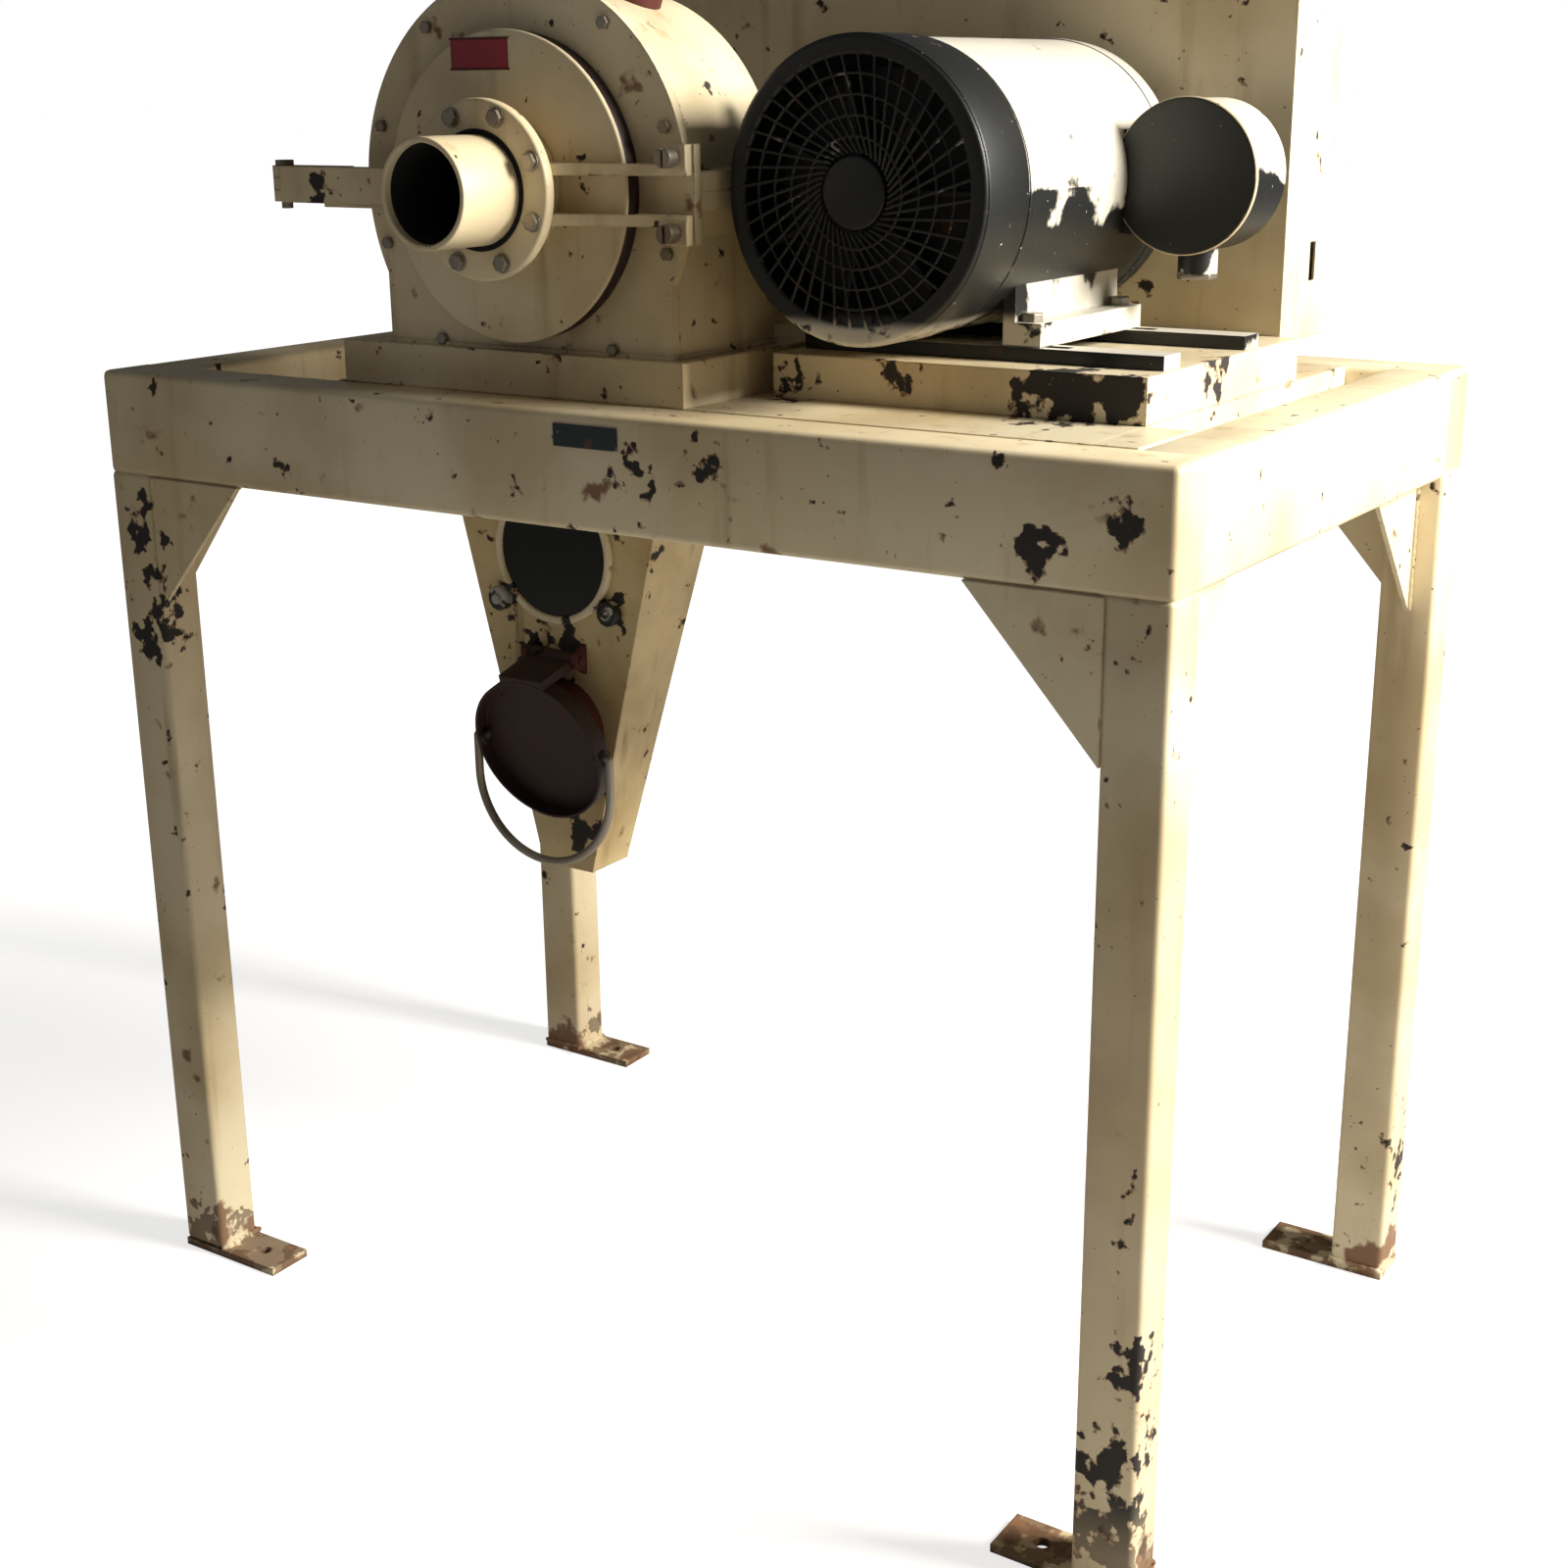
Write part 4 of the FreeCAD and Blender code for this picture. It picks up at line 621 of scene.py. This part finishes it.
@dataclass(frozen=True)
class Finish:
    """A painted or bare finish and how it has aged."""

    name: str
    colour: Triple
    under: Triple = (0.022, 0.018, 0.016)
    rust: Triple = (0.16, 0.055, 0.018)
    roughness: float = 0.42
    metal: float = 0.0
    chipping: float = 0.0
    grime: float = 0.35
    drips: float = 0.3
    # Whether the cream overspray mask, with its painted sunlight on up- and right-facing sides, is mixed
    # in.
    overspray_and_sunlight: bool = False
    bump: float = 0.12
    soft: float = 0.003

    def build(self, wear: bpy.types.NodeTree) -> bpy.types.Material:
        """Builds the material.

        Args:
            wear: The shared group of wear masks.

        Returns:
            The material.
        """
        material = bpy.data.materials.new(self.name)
        material.use_nodes = True
        graph = Graph(material.node_tree)
        shader = material.node_tree.nodes["Principled BSDF"]
        place = graph.add("ShaderNodeTexCoord").outputs["Object"]
        masks = graph.add("ShaderNodeGroup")
        masks.node_tree = wear
        graph.feed(masks.inputs["Vector"], place)
        masks.inputs["Chipping"].default_value = self.chipping
        masks.inputs["Radius"].default_value = self.soft
        cloudy = graph.ramp(graph.noise(place, 2.6, 5.0), 0.35, 0.7)
        duller = tuple(c * f for c, f in zip(self.colour, FADED))
        colour = graph.mix(cloudy, (*self.colour, 1), (*duller, 1))
        # Cream overspray, and painted sunlight on the sides that face the key light.
        if self.overspray_and_sunlight:
            colour = graph.mix(self.overspray_and_sunlight_mask(graph, place), colour, OVERSPRAY_AND_SUNLIGHT)
        dirt = (*(c * f for c, f in zip(self.colour, DIRTIED)), 1)
        colour = graph.mix(graph.math("MULTIPLY", masks.outputs["Grime"], self.grime), colour, dirt)
        colour = graph.mix(graph.math("MULTIPLY", masks.outputs["Drips"], self.drips), colour, dirt)
        colour = graph.mix(graph.math("MULTIPLY", masks.outputs["Rust"], 0.85), colour, (*self.rust, 1))
        colour = graph.mix(masks.outputs["Chips"], colour, (*self.under, 1))
        graph.feed(shader.inputs["Base Color"], colour)
        harmed = graph.math("MAXIMUM", masks.outputs["Chips"], masks.outputs["Rust"])
        graph.feed(shader.inputs["Roughness"],
                   graph.math("ADD", self.roughness, graph.math("MULTIPLY", harmed, 0.35), True))
        shader.inputs["Metallic"].default_value = self.metal
        height = graph.math("SUBTRACT", graph.math("MULTIPLY", graph.noise(place, 220.0, 3.0), 0.25),
                            masks.outputs["Chips"])
        bump = graph.add("ShaderNodeBump")
        bump.inputs["Strength"].default_value = self.bump
        bump.inputs["Distance"].default_value = 0.001
        graph.feed(bump.inputs["Height"], height)
        graph.feed(bump.inputs["Normal"], masks.outputs["Normal"])
        graph.feed(shader.inputs["Normal"], bump.outputs[0])
        return material

    @staticmethod
    def overspray_and_sunlight_mask(graph: Graph, place: bpy.types.NodeSocket) -> bpy.types.NodeSocket:
        """Adds the mask of cream on the motor: overspray, and painted sunlight on its top and right sides,
        which face the key light.

        Args:
            graph: The material's graph.
            place: The object coordinates.

        Returns:
            The mask's socket.
        """
        facing = graph.add("ShaderNodeSeparateXYZ")
        graph.feed(facing.inputs[0], graph.add("ShaderNodeNewGeometry").outputs["Normal"])
        spot = graph.add("ShaderNodeSeparateXYZ")
        graph.feed(spot.inputs[0], place)
        # Painted sunlight: the mask grows where the surface faces up and to the right, towards the key
        # light.
        up = graph.math("ADD", graph.math("MULTIPLY", facing.outputs["Z"], 0.62),
                        graph.math("MULTIPLY", facing.outputs["X"], 0.42))
        ragged = graph.math("ADD", up, graph.math("MULTIPLY", graph.noise(place, 16.0, 8.0), 0.9))
        body = graph.ramp(spot.outputs["Y"], *SPRAY_AND_SUN_BEHIND)
        # Overspray on the feet, in a band between two heights.
        feet = graph.math("MULTIPLY", graph.ramp(spot.outputs["Z"], *FOOT_TOP),
                          graph.ramp(graph.noise(place, 30.0, 6.0), 0.40, 0.46))
        # The sunlit top and right of the motor body behind the cowl, painted cream along with the
        # overspray.
        top = graph.math("MULTIPLY", graph.ramp(ragged, 0.80, 0.86), body)
        feet = graph.math("MULTIPLY", feet, graph.ramp(spot.outputs["Z"], *FOOT_UNDERSIDE))
        return graph.math("MAXIMUM", top, feet)


FINISHES = {
    "cream_paint": Finish("cream_paint", (0.78, 0.68, 0.47), chipping=0.012, grime=0.5, drips=0.45),
    "chute_paint": Finish("chute_paint", (0.70, 0.56, 0.30), chipping=0.03, grime=0.95, drips=1.0,
                          rust=(0.20, 0.07, 0.02)),
    # The motor's black paint takes the cream overspray and the painted sunlight on its up- and right-facing
    # sides.
    "black_paint": Finish("black_paint", (0.008, 0.009, 0.009), under=(0.42, 0.40, 0.36), roughness=0.42,
                          chipping=-0.01, grime=0.2, drips=0.1, overspray_and_sunlight=True, rust=(0.06, 0.04, 0.03)),
    "plate_black": Finish("plate_black", (0.02, 0.035, 0.04), under=(0.5, 0.48, 0.4), roughness=0.35),
    "bare_steel": Finish("bare_steel", (0.36, 0.33, 0.29), metal=0.85, roughness=0.45, grime=0.8),
    "cast_iron": Finish("cast_iron", (0.09, 0.09, 0.09), metal=0.3, roughness=0.6),
    "fan_plastic": Finish("fan_plastic", (0.02, 0.02, 0.02), chipping=-0.2, roughness=0.6),
    "belt_rubber": Finish("belt_rubber", (0.015, 0.015, 0.015), chipping=-0.2, roughness=0.8),
    "seal_rubber": Finish("seal_rubber", (0.022, 0.006, 0.008), chipping=-0.2, roughness=0.55,
                          rust=(0.08, 0.02, 0.015)),
    "window_glass": Finish("window_glass", (0.006, 0.007, 0.007), chipping=-0.3, roughness=0.06,
                           grime=0.3, bump=0.02, rust=(0.02, 0.015, 0.01)),
    "red_label": Finish("red_label", (0.34, 0.012, 0.03), chipping=-0.05, roughness=0.35,
                        under=(0.75, 0.6, 0.5)),
    "red_oxide": Finish("red_oxide", (0.10, 0.018, 0.014), roughness=0.6, chipping=0.02),
    "pan_inside": Finish("pan_inside", (0.030, 0.010, 0.008), under=(0.008, 0.005, 0.004), roughness=0.6,
                         rust=(0.12, 0.025, 0.012), chipping=0.02, grime=0.6),
    # Near-black matte finish for painted shade inside the inlet pipe and painted shadow in the gap round
    # it.
    "pipe_inside": Finish("pipe_inside", (0.004, 0.004, 0.004), chipping=-0.3, roughness=0.9),
}


# ------------------------------------------------------------------ pieces
@dataclass
class Kit:
    """Finishes by name, and what turns finished meshes into pieces of the object."""

    materials: dict[str, bpy.types.Material]
    made: list[bpy.types.Object] = field(default_factory=list)

    def piece(self, name: str, parts: Sequence[bpy.types.Object], body: str, finish: str,
              instead_of: Sequence[str] = ()) -> bpy.types.Object:
        """Turns parts into one named piece that rides on a body.

        Args:
            name: The piece's name.
            parts: The meshes that make it up.
            body: The CAD body that carries it.
            finish: The name of its finish.
            instead_of: CAD nodes that it stands for.

        Returns:
            The piece.
        """
        obj = merge(parts) if len(parts) > 1 else parts[0]
        obj.name = obj.data.name = name
        obj.data.materials.clear()
        obj.data.materials.append(self.materials[finish])
        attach(obj, body)
        if instead_of:
            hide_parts(*instead_of)
        self.made.append(obj)
        return obj


@dataclass
class Stand:
    """The welded stand: tube rails and legs with rounded corners, and weld beads."""

    half: Pair = (0.711, 0.425)
    top: float = 1.2
    rail: Pair = (0.076, 0.127)
    leg: Pair = (0.070, 0.064)
    gusset: Pair = (0.145, 0.16)

    def build(self, kit: Kit) -> None:
        """Builds the stand's pieces.

        Args:
            kit: The finishes and the list of pieces.
        """
        (hx, hy), (wide, deep) = self.half, self.rail
        low = self.top - deep
        for name, sign in (("rail_front", -1), ("rail_rear", 1)):
            y0, y1 = sorted((sign * hy, sign * (hy - wide)))
            kit.piece(f"{name}_tube", [block((-hx, y0, low), (hx, y1, self.top), 0.008)],
                      "stand", "cream_paint", [name])
        sides = []
        for sign in (-1, 1):
            x0, x1 = sorted((sign * hx, sign * (hx - wide)))
            sides.append(block((x0, -hy + 0.001, low + 0.0005), (x1, hy - 0.001, self.top - 0.0005), 0.008))
        kit.piece("side_rail_tubes", sides, "stand", "cream_paint", ["side_rails"])
        for y_name, y_sign in (("front", -1), ("rear", 1)):
            for x_name, x_sign in (("left", -1), ("right", 1)):
                x0, x1 = sorted((x_sign * hx, x_sign * (hx - self.leg[0])))
                y0, y1 = sorted((y_sign * hy, y_sign * (hy - self.leg[1])))
                name = f"leg_{y_name}_{x_name}"
                kit.piece(f"{name}_tube", [block((x0, y0, 0.01), (x1, y1, low + 0.004), 0.007)],
                          "stand", "cream_paint", [name])
        kit.piece("stand_welds", self.welds(low), "stand", "cream_paint")

    def welds(self, low: float) -> list[bpy.types.Object]:
        """Makes the beads where legs meet rails, gussets and feet.

        Args:
            low: The height of the rails' undersides.

        Returns:
            The beads.
        """
        beads = []
        (hx, hy), (lx, ly), (reach, drop) = self.half, self.leg, self.gusset
        for sx in (-1, 1):
            for sy in (-1, 1):
                inner_x, inner_y = sx * (hx - lx), sy * (hy - ly)
                y = sy * (hy - 0.007)
                beads.append(bead((inner_x, y, low - 0.004), (inner_x, y, low - drop), 0.003))
                beads.append(bead((inner_x, y, low), (inner_x - sx * reach, y, low), 0.003))
                x = sx * (hx - lx / 2 + 0.004)
                beads.append(bead((x, inner_y, low - 0.004), (x, inner_y, low - drop), 0.003))
                beads.append(bead((inner_x, sy * (hy - 0.005), 0.012), (inner_x, inner_y, 0.012), 0.004))
                beads.append(bead((sx * (hx - 0.005), inner_y, 0.012), (inner_x, inner_y, 0.012), 0.004))
        return beads


@dataclass
class Door:
    """The casing's door: plate, seal, hub, open inlet pipe, label border and bolt washers."""

    axis: Pair = ROTOR_AXIS
    front: float = -0.364
    rear: float = -0.358
    seal_rear: float = -0.338
    hub_front: float = -0.395
    flange_front: float = -0.409
    pipe_front: float = -0.496
    radius: float = 0.163
    seal: Pair = (0.1615, 0.138)
    hub_radius: float = 0.072
    flange_radius: float = 0.094
    bore: float = 0.0575
    pipe: Pair = (0.05715, 0.0511)
    bolt_circle: float = 0.08
    bolt_count: int = 8
    label: Pair = (-0.133, 1.560)
    label_half: Pair = (0.041, 0.0155)

    def build(self, kit: Kit) -> None:
        """Builds the door's pieces.

        Args:
            kit: The finishes and the list of pieces.
        """
        plate = sleeve(self.axis, (self.front, self.rear), self.radius, self.bore, 0.0025)
        kit.piece("door_plate", [plate], "door", "cream_paint", ["front_door"])
        seal = sleeve(self.axis, (self.rear, self.seal_rear), *self.seal, 0.003)
        kit.piece("door_seal_ring", [seal], "door", "seal_rubber", ["door_seal"])
        hub = [sleeve(self.axis, (self.hub_front, self.front), self.hub_radius, self.bore, 0.002),
               sleeve(self.axis, (self.flange_front, self.hub_front), self.flange_radius, self.bore, 0.003),
               hoop((self.axis[0], self.front - 0.0015, self.axis[1]), Along.Y,
                    self.hub_radius + 0.0005, 0.0035)]
        kit.piece("inlet_hub", hub, "door", "cream_paint", ["inlet_flange"])
        pipe = sleeve(self.axis, (self.pipe_front, self.rear), *self.pipe)
        kit.piece("inlet_tube", [pipe], "door", "cream_paint", ["inlet_pipe"])
        # Painted shade: a near-black sleeve inside the inlet pipe, where its inside lies in shade.
        pipe_shade = sleeve(self.axis, (self.pipe_front + 0.009, self.rear - 0.005),
                       self.pipe[1] - 0.0001, self.pipe[1] - 0.0011, 0.0003)
        kit.piece("inlet_painted_shade", [pipe_shade], "door", "pipe_inside")
        # Painted shadow: a thin near-black ring in the gap between the pipe and the flange.
        gap_shadow = sleeve(self.axis, (self.flange_front - 0.0009, self.flange_front + 0.0003),
                     0.063, self.pipe[0] + 0.00015, 0.0003)
        kit.piece("inlet_gap_painted_shadow", [gap_shadow], "door", "pipe_inside")
        kit.piece("label_border", self.border(), "door", "red_oxide")
        kit.piece("flange_washers", self.washers(), "door", "bare_steel")

    def border(self) -> list[bpy.types.Object]:
        """Makes the bars above and below the label.

        Returns:
            The bars.
        """
        (x, z), (half_width, half_height) = self.label, self.label_half
        bars = []
        for side in (-1, 1):
            height = z + side * half_height
            bars.append(block((x - half_width, self.front - 0.0012, height - 0.001),
                              (x + half_width, self.front, height + 0.001), 0.0003))
        return bars

    def washers(self) -> list[bpy.types.Object]:
        """Makes the washers under the flange's bolts.

        Returns:
            The washers.
        """
        washers = []
        for i in range(self.bolt_count):
            x, z = around(self.axis, self.bolt_circle, 22.5 + 360 * i / self.bolt_count)
            place = (x, self.flange_front - 0.0007, z)
            washers.append(disc(place, Along.Y, 0.0105, 0.0016, 0.0004, 24))
        return washers


@dataclass
class Casing:
    """The weld beads where the casing stands on its base."""

    x: float = ROTOR_AXIS[0]
    half: float = 0.2
    front: float = -0.339
    foot: float = 1.25

    def build(self, kit: Kit) -> None:
        """Builds the casing's pieces.

        Args:
            kit: The finishes and the list of pieces.
        """
        side = self.x + self.half + 0.001
        beads = [bead((self.x - self.half, self.front, self.foot - 0.0005),
                      (self.x + self.half, self.front, self.foot - 0.0005), 0.003),
                 bead((side, -0.325, self.foot), (side, -0.148, self.foot), 0.003)]
        kit.piece("casing_welds", beads, "stand", "cream_paint")


@dataclass
class Motor:
    """The motor's fan cowl with its grille, its bell bolts, bands, conduit nut and box rim."""

    axis: Pair = MOTOR_AXIS
    cowl: Pair = (0.153, 0.150)
    cowl_span: Pair = (-0.296, -0.213)
    lip: Pair = (0.1515, 0.132)
    lip_span: Pair = (-0.300, -0.291)
    grille_y: float = -0.298
    grille_hub: float = 0.036
    grille_wires: tuple[float, ...] = (0.055, 0.075, 0.095, 0.115)
    grille_ribs: int = 44
    rib_reach: Pair = (0.034, 0.136)
    rib_lean: float = 0.30
    bell_bolts: Pair = (0.118, 0.168)
    band: Pair = (0.1515, 0.1485)
    band_places: Pair = (-0.203, 0.124)
    body_radius: float = 0.1505
    conduit: Triple = (0.508, 0.070, 1.3225)
    box_rim: Triple = (0.508, 0.0245, 1.429)

    def build(self, kit: Kit) -> None:
        """Builds the motor's pieces.

        Args:
            kit: The finishes and the list of pieces.
        """
        kit.piece("cowl_grille", self.grille(), "motor_carriage", "black_paint", ["fan_cowl"])
        bolts = []
        for degrees in (45, 135, 225, 315):
            x, z = around(self.axis, self.bell_bolts[0], degrees)
            bolts.append(disc((x, self.bell_bolts[1], z), Along.Y, 0.009, 0.008, 0.001, 6))
        kit.piece("bell_bolts", bolts, "motor_carriage", "bare_steel")
        bands = [sleeve(self.axis, (y - 0.004, y + 0.004), *self.band, 0.001) for y in self.band_places]
        kit.piece("frame_bands", bands, "motor_carriage", "black_paint")
        nut = ring(self.conduit, Along.Z, 0.0225, 0.0137, 0.007, 0.001, 6)
        kit.piece("conduit_nut", [nut], "motor_carriage", "bare_steel")
        rim = ring(self.box_rim, Along.Y, 0.0822, 0.0800, 0.006, 0.001)
        kit.piece("terminal_rim", [self.outside_frame(rim)], "motor_carriage", "cream_paint")

    def grille(self) -> list[bpy.types.Object]:
        """Makes the cowl's drum, lip and grille of leaning ribs.

        Returns:
            The parts.
        """
        centre = (self.axis[0], self.grille_y, self.axis[1])
        parts = [sleeve(self.axis, self.cowl_span, *self.cowl, 0.001),
                 sleeve(self.axis, self.lip_span, *self.lip, 0.004),
                 disc(centre, Along.Y, self.grille_hub, 0.004, 0.0015)]
        parts += [hoop(centre, Along.Y, radius, 0.0016) for radius in self.grille_wires]
        for i in range(self.grille_ribs):
            turn = 2 * math.pi * i / self.grille_ribs
            parts.append(spoke(*self.rib_reach, 0.0032, 0.003, centre, turn, self.rib_lean))
        return parts

    def outside_frame(self, obj: bpy.types.Object) -> bpy.types.Object:
        """Cuts the motor frame's round body out of a piece.

        Args:
            obj: The piece.

        Returns:
            The same piece.
        """
        cutter = disc((self.axis[0], 0.0, self.axis[1]), Along.Y, self.body_radius, 0.5, 0.0005)
        cut = obj.modifiers.new("cut", "BOOLEAN")
        cut.operation, cut.object, cut.solver = "DIFFERENCE", cutter, "EXACT"
        use(obj)
        bpy.ops.object.modifier_apply(modifier=cut.name)
        bpy.data.objects.remove(cutter)
        return obj


@dataclass
class Chute:
    """The chute's window frame and hand nuts."""

    axis: Pair = (ROTOR_AXIS[0], 1.016)
    face: float = -0.303
    frame: Pair = (0.084, 0.075)
    frame_depth: float = 0.009
    nut_spread: Pair = (0.080, 0.062)
    nut: Pair = (0.015, 0.014)
    stud: Pair = (0.006, 0.004)

    def build(self, kit: Kit) -> None:
        """Builds the chute's pieces.

        Args:
            kit: The finishes and the list of pieces.
        """
        frame = sleeve(self.axis, (self.face - self.frame_depth, self.face), *self.frame, 0.003)
        kit.piece("window_frame", [frame], "stand", "cream_paint", ["window_ring"])
        nuts = []
        for sx in (-1, 1):
            for sz in (-1, 1):
                x = self.axis[0] + sx * self.nut_spread[0]
                z = self.axis[1] + sz * self.nut_spread[1]
                nuts.append(disc((x, self.face - self.nut[1] / 2, z), Along.Y, *self.nut, 0.003, 10))
                nuts.append(disc((x, self.face - 0.0155, z), Along.Y, *self.stud, 0.001, 24))
        kit.piece("window_hand_nuts", nuts, "stand", "black_paint", ["window_knobs"])


# ------------------------------------------------------------------- scene
def clear_start() -> None:
    """Removes whatever the new file started with."""
    for obj in list(bpy.data.objects):
        bpy.data.objects.remove(obj)


def dress_frame(frame: dict, kit: Kit) -> None:
    """Gives every CAD node the finish of its material slot.

    Args:
        kit: The finishes.
    """
    finishes = {row["node"]: row["material_slot"] for row in frame["record"]["subparts"]}
    finishes.update(chute_body="chute_paint", chute_spout="red_oxide", flap="pan_inside")
    for name, node in frame["nodes"].items():
        node.data.materials.clear()
        node.data.materials.append(kit.materials[finishes[name]])


def place_camera() -> None:
    """Places the camera to the right of the stand's front, looking slightly down."""
    swing, dip, roll = (math.radians(turn) for turn in CAMERA_TURNS)
    ahead = Vector((-math.sin(swing) * math.cos(dip), math.cos(swing) * math.cos(dip), -math.sin(dip)))
    right = Vector((math.cos(swing), math.sin(swing), 0.0))
    up = right.cross(ahead)
    turned_right = right * math.cos(roll) + up * math.sin(roll)
    turned_up = up * math.cos(roll) - right * math.sin(roll)
    deselect()
    bpy.ops.object.camera_add()
    camera = bpy.context.object
    camera.data.lens, camera.data.sensor_width = CAMERA_LENS, 36.0
    axes = Matrix((turned_right, turned_up, -ahead)).transposed().to_4x4()
    camera.matrix_world = Matrix.Translation(CAMERA_PLACE) @ axes
    bpy.context.scene.camera = camera


@dataclass(frozen=True)
class Lamp:
    """A square light that faces the object: its place, power, width and colour."""

    at: Triple
    power: float
    width: float
    colour: Triple

    def place(self) -> None:
        """Adds the light to the scene."""
        deselect()
        bpy.ops.object.light_add(type="AREA", location=self.at)
        light = bpy.context.object
        light.data.energy, light.data.size, light.data.color = self.power, self.width, self.colour
        aim = Vector(AIM) - Vector(self.at)
        light.rotation_euler = aim.to_track_quat("-Z", "Y").to_euler()


# A strong warm light on the right and a weak one in front.
LAMPS = (
    Lamp((3.8, 0.7, 2.9), 430.0, 1.2, (1.0, 0.965, 0.90)),
    Lamp((-2.4, -3.6, 2.4), 6.0, 3.0, (1.0, 0.96, 0.90)),
)


def place_backdrop() -> None:
    """Sets a white surround and a plain pale floor that takes the shadow."""
    world = bpy.context.scene.world or bpy.data.worlds.new("surround")
    bpy.context.scene.world = world
    world.use_nodes = True
    graph = Graph(world.node_tree)
    surround = world.node_tree.nodes["Background"]
    rays = graph.add("ShaderNodeLightPath")
    seen = graph.math("MAXIMUM", rays.outputs["Is Camera Ray"], rays.outputs["Is Transmission Ray"])
    surround.inputs["Color"].default_value = (1, 1, 1, 1)
    graph.feed(surround.inputs["Strength"], graph.ramp(seen, 0.0, 1.0, *SURROUND))
    deselect()
    bpy.ops.mesh.primitive_plane_add(size=60, location=(0, 0, -0.0005))
    floor = bpy.context.object
    floor.name = "floor"
    material = bpy.data.materials.new("pale_floor")
    material.use_nodes = True
    shader = material.node_tree.nodes["Principled BSDF"]
    shader.inputs["Base Color"].default_value = FLOOR_COLOUR
    shader.inputs["Roughness"].default_value = 0.9
    shader.inputs["Emission Color"].default_value = (1, 1, 1, 1)
    lift = Graph(material.node_tree)
    eye = lift.add("ShaderNodeLightPath").outputs["Is Camera Ray"]
    away = lift.add("ShaderNodeVectorMath", operation="LENGTH")
    lift.feed(away.inputs[0], lift.add("ShaderNodeTexCoord").outputs["Object"])
    glow = lift.ramp(away.outputs["Value"], *FLOOR_REACH, *FLOOR_GLOW)
    lift.feed(shader.inputs["Emission Strength"], lift.math("MULTIPLY", eye, glow))
    floor.data.materials.append(material)
    floor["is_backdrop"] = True


def note_bounds(sizes: list) -> None:
    """Keeps the object's bounds as plain lists.

    Args:
        sizes: The list that the bounds are added to.
    """
    sizes.append([[float(value) for value in corner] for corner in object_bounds()])


def main() -> None:
    """Builds the whole scene."""
    logging.basicConfig(level=logging.INFO, format="%(name)s: %(message)s")
    clear_start()
    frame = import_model()
    sizes: list = []
    note_bounds(sizes)
    wear = build_wear_group(build_spots_group(), build_edges_group())
    kit = Kit({name: finish.build(wear) for name, finish in FINISHES.items()})
    dress_frame(frame, kit)
    builders: tuple[Callable[[Kit], None], ...] = (
        Stand().build, Door().build, Casing().build, Motor().build, Chute().build)
    for build in builders:
        build(kit)
        LOG.info("%d pieces so far", len(kit.made))
    place_camera()
    for lamp in LAMPS:
        lamp.place()
    place_backdrop()
    bpy.context.scene.view_settings.view_transform = "Standard"
    note_bounds(sizes)


if __name__ == "__main__":
    main()
